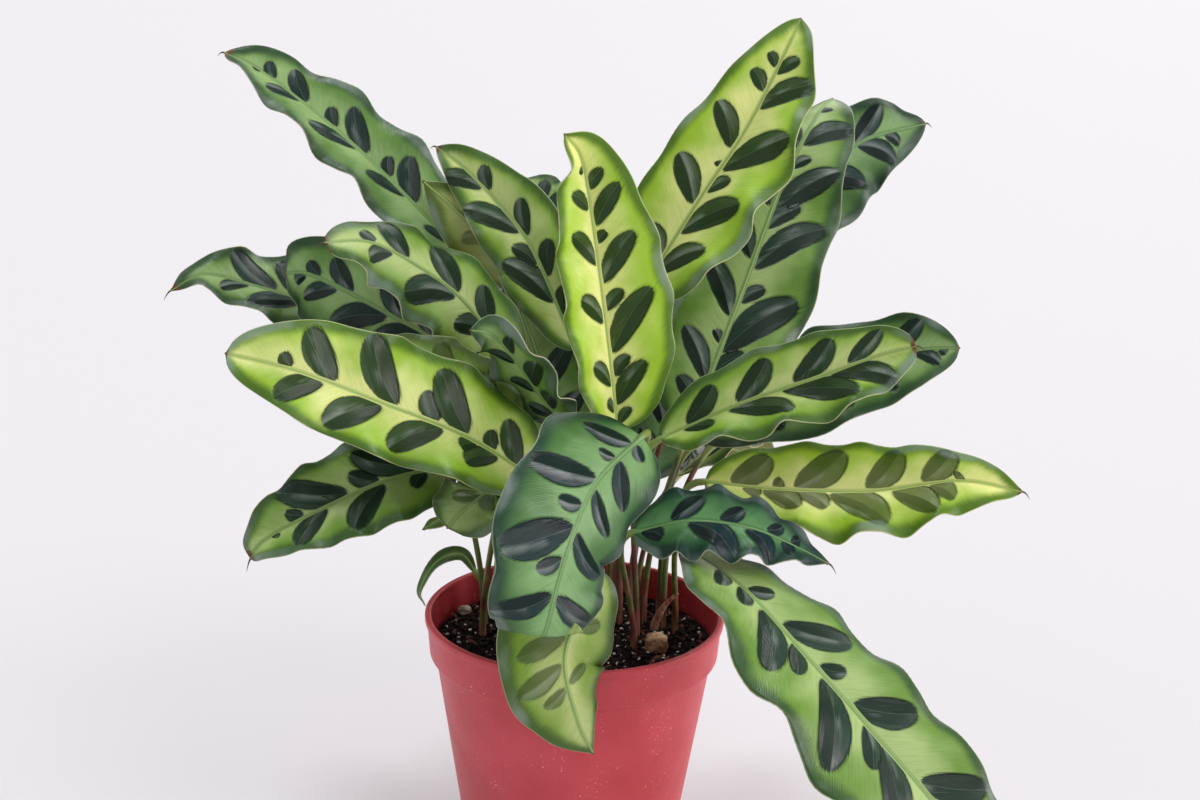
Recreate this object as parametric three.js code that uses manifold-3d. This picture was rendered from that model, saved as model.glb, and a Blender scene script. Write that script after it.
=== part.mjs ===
// A potted rattlesnake plant: waved, spotted leaves on slim stalks, in a red nursery pot of dark peat.
// Millimetres, +Z up. The origin is the centre of the pot's underside, and the front is towards -Y.
import * as THREE from 'three';
import { mergeVertices } from 'three/addons/utils/BufferGeometryUtils.js';
import Module from 'manifold-3d';

const wasm = await Module();
wasm.setup();

// Pot: a 12 cm nursery pot with a thin moulded wall.
const potHeight = 108;
const rimRadius = 60;
const collarHeight = 17;
const collarFootRadius = 58;
const collarStep = 0.8;
const wallTopRadius = 55.5;
const baseRadius = 41.5;
const baseRound = 1;
const wallThickness = 1.4;
const lipWidth = 2.6;
const lipHeight = 2.6;
const lipRound = 0.5;
const floorThickness = 2;
const drainHoles = 8;
const drainRadius = 4;
const drainRingRadius = 30;
const potSides = 40;
const drainSides = 10;
const cutPast = 1;

// Soil: it stands a little under the rim, heaped where the stalks rise.
const soilLevel = 95.5;
const soilHeap = 2.5;
const swell = 0.7;
const ripple = 0.4;
const soilGap = 0.4;
const soilSides = 40;
const soilRings = 4;

// Stalks: each stands in a plain hole, with a hair's clearance all round.
const holeDepth = 14;
const holeRadius = 2.1;
const holeSides = 8;
const stalkStandUp = 2;
const holeTop = 4;

// Leaves: thickness, keel and how the halves arch are alike on all of them.
const bladeThickness = 0.8;
const keelDepth = 1.3;
const archShare = 0.25;
const scallopShare = 0.03;
const tipHalfWidth = 0.6;
const edgeCalm = 0.6;
const ribTension = 0.5;
const stalkRadius = 1.5;
const jointRadius = 1.9;
const stepsPerWave = 4;
const fewestSteps = 8;
const longBlade = 120;
const across = [-1, -0.5, 0, 0.5, 1];
const roundShare = 0.8;
const stalkBends = [0.3, 0.6, 0.85];
const footPull = 0.4;
const jointPull = 0.22;

const colours = {
  pot: { color: 0xa8323a, roughness: 0.55, metalness: 0 },
  soil: { color: 0x231a15, roughness: 0.95, metalness: 0 },
  dark: { color: 0x55834a, roughness: 0.45, metalness: 0 },
  bright: { color: 0x9fc05c, roughness: 0.42, metalness: 0 },
  rolled: { color: 0x9a9548, roughness: 0.5, metalness: 0 },
  dry: { color: 0xa98262, roughness: 0.85, metalness: 0 },
  stone: { color: 0x9c8b78, roughness: 0.9, metalness: 0 },
};

// Each leaf: foot is where the stalk leaves the soil; rib runs from the blade's base to its tip;
// face is the way the upper side looks at the base and at the tip; width is flat, edge to edge.
// full and tip shape the outline towards the base and the tip, fold lifts the two halves (degrees),
// and each edge has its own wave height and start. The first of a pair is the half on the left of
// the rib, looking from the base to the tip with the upper side up. A bright leaf is a young one,
// pull is how far the stalk runs on in line with the rib before it bends, and rings is the fewest
// cross-sections along the blade. Both are given only where they differ from the usual.
const leaves = [
  { name: 'leaf_upper_left', foot: [-13, 42], width: 46, full: 0.4, tip: 0.55,
    rib: [[-45, 38, 240], [-75, 50, 268], [-101, 58, 290], [-133, 65, 313], [-148, 66, 320]],
    face: [[0.1, -0.5, 0.9], [0.1, -0.5, 0.9]], fold: [30, 30],
    waves: 4, ruffle: [4, 3], phase: [0.6, 0.65] },
  { name: 'leaf_upper_centre_left', foot: [4, 14], width: 38, full: 0.6, tip: 0.7,
    rib: [[-2, 16, 212], [-20, 25, 250], [-36, 31, 269], [-49, 34, 281], [-59, 36, 288]],
    face: [[-0.3, -0.9, 0.3], [-0.1, -0.8, 0.6]], fold: [30, 30],
    waves: 3, ruffle: [4, 2], phase: [0.25, 0.3] },
  { name: 'leaf_centre_bright', foot: [13, 2], width: 59, full: 0.45, tip: 0.65, bright: true,
    rib: [[15, -8, 186], [9, -16, 232], [3, -21, 272], [-1, -25, 293], [-7, -34, 303]],
    face: [[0.4, -0.9, 0.3], [0.1, -1, 0.2]], fold: [50, 35],
    waves: 5, ruffle: [4, 1], phase: [-0.3, 0.85] },
  { name: 'leaf_upper_right_bright', foot: [18, 12], width: 56, full: 0.4, tip: 0.65, bright: true,
    rib: [[23, 20, 235], [45, 25, 272], [62, 29, 299], [76, 34, 328], [82, 40, 341]],
    face: [[-0.6, -0.6, 0.5], [-0.5, -0.8, 0.4]], fold: [50, 10],
    waves: 4, ruffle: [0.5, 4], phase: [0, 0.6] },
  { name: 'leaf_right_dark_tall', foot: [28, 16], width: 54, full: 0.32, tip: 0.5,
    rib: [[44, 9, 184], [63, 27, 234], [78, 44, 274], [92, 60, 300], [101, 78, 307]],
    face: [[0, -0.9, 0.4], [-0.4, -0.6, 0.6]], fold: [0, -5],
    waves: 4, ruffle: [3, 4], phase: [0.15, 0.35] },
  { name: 'leaf_right_back', foot: [23, 34], width: 44, full: 0.5, tip: 0.65,
    rib: [[73, 62, 245], [95, 74, 273], [115, 82, 289], [143, 92, 296]],
    face: [[-0.1, -0.7, 0.7], [0.2, -0.9, 0.5]], fold: [30, -10],
    waves: 4, ruffle: [4, 3], phase: [0, 0.2] },
  { name: 'leaf_left_far', foot: [-21, 38], width: 42, full: 0.8, tip: 1,
    rib: [[-78, 56, 208], [-106, 56, 217], [-133, 52, 226], [-155, 47, 232], [-168, 42, 226]],
    face: [[-0.1, -0.4, 0.9], [-0.1, -0.8, 0.5]], fold: [35, 5],
    waves: 4, ruffle: [3.5, 4], phase: [0.8, 0.25] },
  { name: 'leaf_left_behind', foot: [-17, 28], width: 42, full: 0.6, tip: 0.4,
    rib: [[-51, 28, 208], [-75, 30, 220], [-93, 32, 229], [-110, 34, 236], [-119, 30, 237]],
    face: [[-0.2, -0.8, 0.5], [-0.2, -0.9, 0.3]], fold: [0, 15],
    waves: 4, ruffle: [3, 2], phase: [0.85, 0.1] },
  { name: 'leaf_left_light', foot: [-5, 5], width: 38, full: 0.4, tip: 0.5,
    rib: [[-23, 2, 207], [-46, 0, 235], [-62, -4, 248], [-79, -10, 258], [-95, -18, 259]],
    face: [[-0.1, -0.6, 0.8], [0, -0.6, 0.8]], fold: [0, 5],
    waves: 4, ruffle: [4, 2], phase: [0.65, 0.5] },
  { name: 'leaf_left_large', foot: [-10, -12], width: 52, full: 0.4, tip: 0.5,
    rib: [[-14, -22, 169], [-40, -32, 189], [-72, -42, 205], [-100, -50, 218], [-125, -54, 225]],
    face: [[0, -0.8, 0.7], [-0.1, -1, 0.2]], fold: [40, 15],
    waves: 4, ruffle: [4, 4], phase: [0.1, 0.8] },
  { name: 'leaf_small_centre_left', foot: [4, -5], width: 35, full: 0.7, tip: 0.8,
    rib: [[-3, -14, 187], [-15, -21, 204], [-24, -28, 219], [-32, -32, 229], [-40, -34, 231]],
    face: [[-0.7, -0.7, 0.2], [-0.6, -0.7, 0.3]], fold: [10, 20],
    waves: 3, ruffle: [4, 3], phase: [0.75, 0.05] },
  { name: 'leaf_left_lower', foot: [-37, 9], pull: 0, width: 44, full: 0.5, tip: 0.6,
    rib: [[-47, -10, 171], [-70, -24, 170], [-99, -36, 159], [-116, -42, 150], [-121, -42, 143]],
    face: [[-0.1, -0.9, 0.3], [-0.3, -0.7, 0.7]], fold: [30, 45],
    waves: 5, ruffle: [1.5, 2.5], phase: [0.45, 0] },
  { name: 'leaf_front', foot: [3, -18], width: 54, full: 0.34, tip: 0.44,
    rib: [[24, -36, 193], [8, -62, 184], [0, -82, 171], [-5, -89, 155],
      [-8, -91, 141], [-10, -89, 135], [-11, -80, 137]],
    face: [[0.77, -0.6, 0.6], [0.3, -0.6, -0.9]], fold: [20, -16],
    rings: 16, waves: 2.8, ruffle: [2.8, 3], phase: [0.04, 0.3] },
  { name: 'leaf_front_lower', foot: [6, -30], width: 45, full: 0.83, tip: 0.88, bright: true,
    rib: [[7, -44, 147], [7, -58, 143], [-2, -79, 124], [3, -86, 102], [9, -82, 87]],
    face: [[0.2, -0.7, 0.6], [0.6, -0.8, 0]], fold: [-16, -20],
    waves: 3.8, ruffle: [2.2, 0.4], phase: [-0.15, 0.2] },
  { name: 'leaf_right', foot: [25, 0], width: 44, full: 0.45, tip: 0.45,
    rib: [[32, -6, 183], [62, -10, 199], [91, -12, 211], [113, -12, 220], [127, -12, 224]],
    face: [[0, -0.3, 0.9], [0, -0.7, 0.7]], fold: [60, 20],
    waves: 4, ruffle: [1, 4], phase: [0.4, 0.35] },
  { name: 'leaf_right_behind', foot: [35, 24], width: 46, full: 0.65, tip: 0.55,
    rib: [[49, 22, 174], [84, 24, 192], [112, 24, 207], [133, 22, 214], [150, 20, 216]],
    face: [[0, -0.3, 0.9], [0, -0.7, 0.7]], fold: [50, 10],
    waves: 3, ruffle: [4, 1.5], phase: [0.6, 0.7] },
  { name: 'leaf_right_yellow', foot: [36, 10], width: 46, full: 0.45, tip: 0.75, bright: true,
    rib: [[50, 0, 164], [79, -4, 163], [114, -12, 166], [146, -18, 173], [170, -20, 170]],
    face: [[0.1, -0.3, 1], [0, -0.7, 0.7]], fold: [45, 10],
    waves: 5, ruffle: [1, 4], phase: [0.6, 0.65] },
  { name: 'leaf_right_lower_small', foot: [24, -12], width: 33, full: 0.45, tip: 0.9,
    rib: [[22, -27, 152], [43, -32, 159], [65, -38, 159], [82, -40, 153], [95, -42, 147]],
    face: [[0.1, -0.3, 0.9], [0.1, -0.4, 0.9]], fold: [40, 0],
    waves: 5, ruffle: [2, 3], phase: [0.2, 0.1] },
  { name: 'leaf_right_drooping', foot: [41, 8], width: 58, full: 0.5, tip: 0.45,
    rib: [[43, -26, 146], [63, -52, 140], [84, -74, 124], [106, -90, 104],
      [128, -98, 81], [146, -102, 59], [160, -103, 38]],
    face: [[0.6, 0, 0.8], [0.6, -0.7, 0.4]], fold: [40, -5],
    waves: 5, ruffle: [2, 3.5], phase: [0.65, 0.1] },
  { name: 'leaf_half_rolled', foot: [-4, 20], width: 28, full: 0.6, tip: 0.9, rolled: true,
    rib: [[-30, 26, 234], [-37, 27, 251], [-49, 29, 263], [-64, 32, 275]],
    face: [[-0.2, -0.8, 0.6], [-0.2, -0.8, 0.6]], fold: [-10, 10],
    waves: 2, ruffle: [2, 1], phase: [0.2, 0.5] },
  { name: 'leaf_far_back_centre', foot: [5, 32], width: 36, full: 0.5, tip: 0.5,
    rib: [[-2, 62, 243], [-11, 66, 254], [-19, 70, 263], [-25, 74, 271]],
    face: [[0.2, -0.8, 0.6], [0.2, -0.8, 0.6]], fold: [10, 10],
    waves: 4, ruffle: [3, 3], phase: [0.2, 0.5] },
  { name: 'leaf_left_half_hidden', foot: [-17, 12], width: 40, full: 0.5, tip: 0.6,
    rib: [[-20, -11, 177], [-39, -17, 197], [-58, -23, 212], [-76, -26, 221]],
    face: [[-0.1, -0.7, 0.7], [-0.1, -0.7, 0.7]], fold: [-15, 15],
    waves: 4, ruffle: [2, 2], phase: [0.2, 0.5] },
  { name: 'leaf_centre_left_behind', foot: [-4, 27], width: 42, full: 0.5, tip: 0.6,
    rib: [[-6, 27, 158], [-12, 28, 184], [-18, 29, 207], [-25, 30, 225]],
    face: [[-0.2, -0.9, 0.3], [-0.2, -0.9, 0.3]], fold: [10, 10],
    waves: 3, ruffle: [2, 2], phase: [0.2, 0.5] },
  { name: 'leaf_left_lower_small', foot: [-37, -1], pull: 0, width: 32, full: 0.5, tip: 0.4,
    rib: [[-27, -18, 168], [-34, -33, 168], [-42, -43, 164], [-47, -47, 159]],
    face: [[-0.1, -0.6, 0.8], [-0.3, -0.8, 0.5]], fold: [10, 10],
    waves: 3, ruffle: [2, 2], phase: [0.2, 0.5] },
  { name: 'leaf_left_sliver', foot: [-34, 17], width: 10, full: 0.5, tip: 0.7,
    rib: [[-37, 8, 148], [-46, 6, 147], [-55, 3, 144], [-61, 0, 141]],
    face: [[0, -0.2, 1], [0, -0.2, 1]], fold: [10, 10],
    waves: 2, ruffle: [1, 1], phase: [0.2, 0.5] },
  { name: 'leaf_tiny_curled', foot: [-38, 24], width: 7, full: 0.5, tip: 0.8,
    rib: [[-41, 14, 118], [-46, 12, 126], [-53, 10, 126], [-59, 8, 121], [-63, 6, 112], [-61, 6, 106]],
    face: [[0.3, -0.6, 0.7], [-0.9, -0.4, 0]], fold: [30, 30],
    waves: 2, ruffle: [0.5, 0.5], phase: [0.2, 0.5] },
  // The leaves behind, which no photograph shows: they arch away from the viewer like the ones in front.
  { name: 'leaf_back_left_high', foot: [-9, 44], width: 44, full: 0.45, tip: 0.6,
    rib: [[-28, 70, 205], [-44, 94, 222], [-62, 118, 228], [-78, 138, 222]],
    face: [[0, 0.3, 1], [-0.4, 0.5, 0.8]], fold: [25, 25],
    waves: 4, ruffle: [3, 3], phase: [0.1, 0.6] },
  { name: 'leaf_back_centre_high', foot: [6, 42], width: 46, full: 0.45, tip: 0.6, bright: true,
    rib: [[8, 68, 208], [12, 94, 228], [16, 122, 236], [18, 148, 228]],
    face: [[0, 0.2, 1], [0, 0.6, 0.8]], fold: [25, 25],
    waves: 4, ruffle: [3, 3], phase: [0.3, 0.8] },
  { name: 'leaf_back_right_high', foot: [17, 43], width: 44, full: 0.45, tip: 0.6,
    rib: [[38, 68, 196], [56, 92, 214], [74, 116, 222], [90, 138, 214]],
    face: [[0, 0.3, 1], [0.4, 0.5, 0.8]], fold: [25, 25],
    waves: 4, ruffle: [3, 3], phase: [0.5, 0] },
  { name: 'leaf_back_left', foot: [-29, 36], width: 44, full: 0.45, tip: 0.6,
    rib: [[-52, 54, 172], [-78, 74, 182], [-104, 92, 180], [-128, 108, 166]],
    face: [[0, 0.3, 1], [-0.5, 0.5, 0.7]], fold: [25, 25],
    waves: 4, ruffle: [3, 3], phase: [0.4, 0.1] },
  { name: 'leaf_back_left_low', foot: [-17, 45], width: 42, full: 0.45, tip: 0.6,
    rib: [[-30, 66, 150], [-44, 90, 154], [-56, 114, 144], [-64, 132, 126]],
    face: [[0, 0.3, 1], [-0.3, 0.8, 0.6]], fold: [25, 25],
    waves: 4, ruffle: [3, 3], phase: [0.7, 0.3] },
  { name: 'leaf_back_centre_low', foot: [0, 48], width: 44, full: 0.45, tip: 0.6,
    rib: [[2, 68, 152], [4, 92, 154], [6, 116, 142], [6, 134, 122]],
    face: [[0, 0.2, 1], [0, 0.9, 0.4]], fold: [25, 25],
    waves: 4, ruffle: [3, 3], phase: [0.2, 0.7] },
  { name: 'leaf_back_middle', foot: [12, 31], width: 32, full: 0.5, tip: 0.6,
    rib: [[27, 42, 151], [33, 46, 167], [39, 51, 182], [43, 55, 196]],
    face: [[0.1, -0.9, 0.4], [0.1, -0.9, 0.4]], fold: [10, 10],
    waves: 3, ruffle: [2, 2], phase: [0.4, 0.1] },
  { name: 'leaf_back_right_low', foot: [26, 43], width: 44, full: 0.45, tip: 0.6, bright: true,
    rib: [[42, 60, 146], [58, 82, 152], [74, 104, 144], [86, 122, 126]],
    face: [[0, 0.3, 1], [0.4, 0.7, 0.6]], fold: [25, 25],
    waves: 4, ruffle: [3, 3], phase: [0.6, 0.2] },
  { name: 'leaf_back_right', foot: [36, 34], width: 44, full: 0.45, tip: 0.6,
    rib: [[58, 48, 166], [82, 62, 178], [106, 76, 180], [126, 88, 172]],
    face: [[0, 0.2, 1], [0.5, 0.4, 0.8]], fold: [25, 25],
    waves: 4, ruffle: [3, 3], phase: [0, 0.5] },
];

// What is left of old leaves, and what lies on the soil.
const drySheaths = [
  { name: 'dry_sheath_right', foot: [32, 5], tip: [41, -6, 119] },
  { name: 'dry_sheath_left', foot: [15, 23], tip: [13, 22, 110] },
];
const sheathRadius = 1.5;
const sheathBends = [0, 0.35, 0.7, 1];
const sheathTaper = 0.7;
const rhizomeStub = { at: [33, -12], size: [9, 8, 8] };
const lumpGap = 0.7;
const knobDepth = 0.12;
const underside = 0.6;
const pebble = { at: [-46, 22], size: [6, 5, 4] };

// The blade's outline at t along the rib, 0 at the base and 1 at the tip: 1 where it is widest.
function outline(leaf, t) {
  const widest = leaf.full / (leaf.full + leaf.tip);
  const peak = widest ** leaf.full * (1 - widest) ** leaf.tip;
  return t ** leaf.full * (1 - t) ** leaf.tip / peak;
}

// A place on the blade as [sideways, up] from its rib, for q from -1 at one edge to 1 at the other.
function bladePlace(leaf, t, q) {
  const half = q < 0 ? 0 : 1;
  const turn = 2 * Math.PI * (leaf.waves * t + leaf.phase[half]);
  const calm = Math.sin(Math.PI * t) ** edgeCalm;
  const flat = leaf.width / 2 * outline(leaf, t) * (1 + scallopShare * Math.cos(turn) * calm);
  const reach = Math.max(flat, tipHalfWidth);
  const lift = THREE.MathUtils.degToRad(leaf.fold[half]);
  const wave = leaf.ruffle[half] * calm * q * q * Math.sin(turn);
  return [
    q * reach * Math.cos(lift),
    Math.abs(q) * reach * Math.sin(lift) - archShare * reach * q * q + wave,
  ];
}

// The ring of a round stalk, in the same order as a blade's: the upper side, then the lower.
function stalkRing(radius) {
  const turns = across.map((q) => Math.PI / 2 * (1 - roundShare * q));
  return {
    upper: turns.map((a) => [radius * Math.cos(a), radius * Math.sin(a)]),
    lower: turns.map((a) => [radius * Math.cos(a), -radius * Math.sin(a)]),
  };
}

// The ring of a blade at t, with the keel of its rib underneath, slimmer towards the tip.
function bladeRing(leaf, t) {
  const places = across.map((q) => bladePlace(leaf, t, q));
  const keel = keelDepth * (1 - t);
  return {
    upper: places.map(([x, y]) => [x, y + bladeThickness / 2]),
    lower: places.map(([x, y], j) => [x, y - bladeThickness / 2 - (across[j] === 0 ? keel : 0)]),
  };
}

// Every ring of a leaf in order, from the foot of its stalk to its tip.
function leafRings(leaf) {
  const [footX, footY] = leaf.foot;
  const ground = soilHeight(footX, footY);
  const up = new THREE.Vector3(0, 0, 1);
  const ribPoints = leaf.rib.map((p) => new THREE.Vector3(...p));
  const rib = new THREE.CatmullRomCurve3(ribPoints, false, 'catmullrom', ribTension);
  const base = rib.getPointAt(0);
  const leaving = new THREE.Vector3(footX, footY, ground + stalkStandUp);
  const span = leaving.distanceTo(base);
  const stalk = new THREE.CubicBezierCurve3(
    leaving,
    leaving.clone().addScaledVector(up, span * footPull),
    base.clone().addScaledVector(rib.getTangentAt(0), -span * (leaf.pull ?? jointPull)),
    base,
  );
  const needed = Math.round(leaf.waves * stepsPerWave * rib.getLength() / longBlade);
  const steps = Math.max(leaf.rings ?? fewestSteps, needed);
  const buried = new THREE.Vector3(footX, footY, ground - holeDepth + soilGap);
  const rings = [
    { at: buried, along: up, shape: stalkRing(stalkRadius) },
    { at: leaving, along: up, shape: stalkRing(stalkRadius) },
  ];
  for (const share of stalkBends) {
    const at = stalk.getPointAt(share);
    rings.push({ at, along: stalk.getTangentAt(share), shape: stalkRing(stalkRadius) });
  }
  for (let i = 0; i <= steps; i += 1) {
    const t = i / steps;
    const shape = i === 0 ? stalkRing(jointRadius) : bladeRing(leaf, t);
    rings.push({ at: rib.getPointAt(t), along: rib.getTangentAt(t), shape, t });
  }
  // The upper side looks where the blade says; down the stalk it turns as little as it can.
  const [faceBase, faceTip] = leaf.face.map((f) => new THREE.Vector3(...f).normalize());
  let face = faceBase;
  for (const ring of rings.slice().reverse()) {
    if (ring.t !== undefined) face = faceBase.clone().lerp(faceTip, ring.t);
    face = face.clone().addScaledVector(ring.along, -face.dot(ring.along)).normalize();
    ring.face = face;
    ring.side = new THREE.Vector3().crossVectors(ring.along, face);
  }
  return rings;
}

// One closed body through a row of rings. Both sides are split into triangles alike.
function loft(rings) {
  const columns = across.length;
  const points = [];
  for (const ring of rings) {
    for (const [x, y] of [...ring.shape.upper, ...ring.shape.lower]) {
      points.push(ring.at.clone().addScaledVector(ring.side, x).addScaledVector(ring.face, y));
    }
  }
  const upper = (i, j) => i * 2 * columns + j;
  const lower = (i, j) => upper(i, j) + columns;
  const index = [];
  const quad = (a, b, c, d) => index.push(a, b, c, a, c, d);
  const back = (a, b, c, d) => index.push(a, c, b, a, d, c);
  const last = rings.length - 1;
  const edge = columns - 1;
  for (let i = 0; i < last; i += 1) {
    for (let j = 0; j < edge; j += 1) {
      quad(upper(i, j), upper(i, j + 1), upper(i + 1, j + 1), upper(i + 1, j));
      back(lower(i, j), lower(i, j + 1), lower(i + 1, j + 1), lower(i + 1, j));
    }
    back(upper(i, 0), lower(i, 0), lower(i + 1, 0), upper(i + 1, 0));
    quad(upper(i, edge), lower(i, edge), lower(i + 1, edge), upper(i + 1, edge));
  }
  for (let j = 0; j < edge; j += 1) {
    back(upper(0, j), upper(0, j + 1), lower(0, j + 1), lower(0, j));
    quad(upper(last, j), upper(last, j + 1), lower(last, j + 1), lower(last, j));
  }
  const geometry = new THREE.BufferGeometry().setFromPoints(points);
  geometry.setIndex(index);
  return geometry;
}

// A closed mesh as a solid that can be joined and cut, and back again.
function toSolid(geometry) {
  const bare = geometry.clone();
  bare.deleteAttribute('normal');
  bare.deleteAttribute('uv');
  const merged = mergeVertices(bare, 1e-4);
  return new wasm.Manifold(new wasm.Mesh({
    numProp: 3,
    vertProperties: new Float32Array(merged.attributes.position.array),
    triVerts: new Uint32Array(merged.index.array),
  }));
}

function toGeometry(solid) {
  const mesh = solid.getMesh();
  const geometry = new THREE.BufferGeometry();
  geometry.setAttribute('position', new THREE.BufferAttribute(mesh.vertProperties, 3));
  geometry.setIndex(new THREE.BufferAttribute(mesh.triVerts, 1));
  return geometry;
}

// An upright round bar from one height to another, for drilling holes.
function drill(x, y, radius, bottom, top, sides) {
  const bar = new THREE.CylinderGeometry(radius, radius, top - bottom, sides);
  bar.rotateX(Math.PI / 2);
  bar.translate(x, y, (top + bottom) / 2);
  return toSolid(bar);
}

// The inner face of the pot's wall, from the floor up: [radius, height].
const collarFoot = potHeight - collarHeight;
const inside = [
  [baseRadius - wallThickness, floorThickness],
  [wallTopRadius - wallThickness, collarFoot - collarStep],
  [collarFootRadius - wallThickness, collarFoot + 2 * collarStep],
  [rimRadius - lipWidth, potHeight - 2 * lipRound],
];

function insideRadius(z) {
  const above = inside.findIndex(([, height]) => height > z);
  const [[lowRadius, low], [highRadius, high]] = [inside[above - 1], inside[above]];
  return THREE.MathUtils.mapLinear(z, low, high, lowRadius, highRadius);
}

function potGeometry() {
  const profile = [
    [0, 0],
    [baseRadius - baseRound, 0],
    [baseRadius, baseRound],
    [wallTopRadius, collarFoot - collarStep],
    [collarFootRadius, collarFoot + collarStep],
    [rimRadius - 2 * lipRound, potHeight - lipHeight - 2 * lipRound],
    [rimRadius, potHeight - lipHeight],
    [rimRadius, potHeight - lipRound],
    [rimRadius - lipRound, potHeight],
    [rimRadius - lipWidth + lipRound, potHeight],
    ...inside.slice().reverse(),
    [0, floorThickness],
  ];
  const wall = new THREE.LatheGeometry(profile.map(([r, z]) => new THREE.Vector2(r, z)), potSides);
  wall.rotateX(Math.PI / 2);
  let pot = toSolid(wall);
  for (let i = 0; i < drainHoles; i += 1) {
    const turn = 2 * Math.PI * (i + 0.5) / drainHoles;
    const x = drainRingRadius * Math.cos(turn);
    const y = drainRingRadius * Math.sin(turn);
    pot = pot.subtract(drill(x, y, drainRadius, -cutPast, floorThickness + cutPast, drainSides));
  }
  return toGeometry(pot);
}

// The soil's surface: heaped a little in the middle, and uneven all over.
function soilHeight(x, y) {
  const out = Math.min(Math.hypot(x, y) / wallTopRadius, 1);
  const swells = swell * Math.sin(0.21 * x + 0.6) * Math.cos(0.26 * y);
  const uneven = swells + ripple * Math.sin(0.47 * x - 0.39 * y);
  return soilLevel + soilHeap * (1 - out * out) + uneven * (1 - out ** 4);
}

function soilGeometry() {
  const bottom = floorThickness + soilGap;
  const top = soilLevel;
  const footRadius = insideRadius(bottom) - soilGap;
  const [shoulderRadius, shoulder] = inside[1];
  const points = [new THREE.Vector3(0, 0, bottom)];
  const index = [];
  const rings = [[footRadius, bottom], [shoulderRadius - soilGap, shoulder]];
  const topRadius = insideRadius(top) - 2 * soilGap;
  for (let k = soilRings; k >= 1; k -= 1) rings.push([topRadius * k / soilRings, null]);
  for (const [radius, height] of rings) {
    for (let i = 0; i < soilSides; i += 1) {
      const turn = 2 * Math.PI * i / soilSides;
      const x = radius * Math.cos(turn);
      const y = radius * Math.sin(turn);
      points.push(new THREE.Vector3(x, y, height ?? soilHeight(x, y)));
    }
  }
  points.push(new THREE.Vector3(0, 0, soilHeight(0, 0)));
  const at = (ring, i) => 1 + ring * soilSides + i % soilSides;
  for (let i = 0; i < soilSides; i += 1) {
    index.push(0, at(0, i + 1), at(0, i));
    for (let ring = 0; ring + 1 < rings.length; ring += 1) {
      index.push(at(ring, i), at(ring, i + 1), at(ring + 1, i + 1));
      index.push(at(ring, i), at(ring + 1, i + 1), at(ring + 1, i));
    }
    index.push(at(rings.length - 1, i), at(rings.length - 1, i + 1), points.length - 1);
  }
  const heap = new THREE.BufferGeometry().setFromPoints(points);
  heap.setIndex(index);
  let soil = toSolid(heap);
  for (const { foot: [x, y] } of [...leaves, ...drySheaths]) {
    const ground = soilHeight(x, y);
    soil = soil.subtract(drill(x, y, holeRadius, ground - holeDepth, ground + holeTop, holeSides));
  }
  return toGeometry(soil);
}

// A dry sheath: the papery, flattened remains of an old leaf stalk, standing in a hole of its own.
function sheathGeometry({ foot: [x, y], tip }) {
  const ground = soilHeight(x, y);
  const up = new THREE.Vector3(0, 0, 1);
  const leaving = new THREE.Vector3(x, y, ground + stalkStandUp);
  const curve = new THREE.QuadraticBezierCurve3(
    leaving,
    leaving.clone().addScaledVector(up, (tip[2] - ground) / 2),
    new THREE.Vector3(...tip),
  );
  const ring = (at, along, size) => {
    const face = new THREE.Vector3(0, -1, 0).projectOnPlane(along).normalize();
    const shape = stalkRing(sheathRadius * size);
    return { at, along, face, side: new THREE.Vector3().crossVectors(along, face), shape };
  };
  const rings = [ring(new THREE.Vector3(x, y, ground - holeDepth / 2), up, 1)];
  for (const share of sheathBends) {
    rings.push(ring(curve.getPointAt(share), curve.getTangentAt(share), 1 - sheathTaper * share * share));
  }
  return loft(rings);
}

// A lump with a knobbly skin, lying on the soil: a rhizome's cut end, or a pebble.
function lumpGeometry({ at: [x, y], size }) {
  const lump = new THREE.IcosahedronGeometry(1, 1);
  const spot = lump.attributes.position;
  for (let i = 0; i < spot.count; i += 1) {
    const [a, b, c] = [spot.getX(i), spot.getY(i), spot.getZ(i)];
    const knob = 1 + knobDepth * Math.sin(5 * a + 3 * b) * Math.cos(4 * c + 2 * b);
    const height = Math.max(c * knob, -underside);
    spot.setXYZ(i, a * knob * size[0] / 2, b * knob * size[1] / 2, height * size[2] / 2);
  }
  lump.translate(x, y, soilHeight(x, y) + underside * size[2] / 2 + lumpGap);
  return toGeometry(toSolid(lump));
}

const plant = new THREE.Group();

function add(name, geometry, finish) {
  const mesh = new THREE.Mesh(geometry, new THREE.MeshStandardMaterial(finish));
  mesh.name = name;
  plant.add(mesh);
}

add('pot', potGeometry(), colours.pot);
add('soil', soilGeometry(), colours.soil);
for (const leaf of leaves) {
  const finish = leaf.rolled ? colours.rolled : leaf.bright ? colours.bright : colours.dark;
  add(leaf.name, loft(leafRings(leaf)), finish);
}
for (const sheath of drySheaths) add(sheath.name, sheathGeometry(sheath), colours.dry);
add('rhizome_stub', lumpGeometry(rhizomeStub), colours.dry);
add('pebble', lumpGeometry(pebble), colours.stone);

export default plant;
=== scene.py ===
"""A potted rattlesnake plant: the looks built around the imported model, piece by piece, in metres."""
import math
import random

import bmesh
import bpy
import numpy as np
from mathutils import Matrix, Vector, noise


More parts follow.
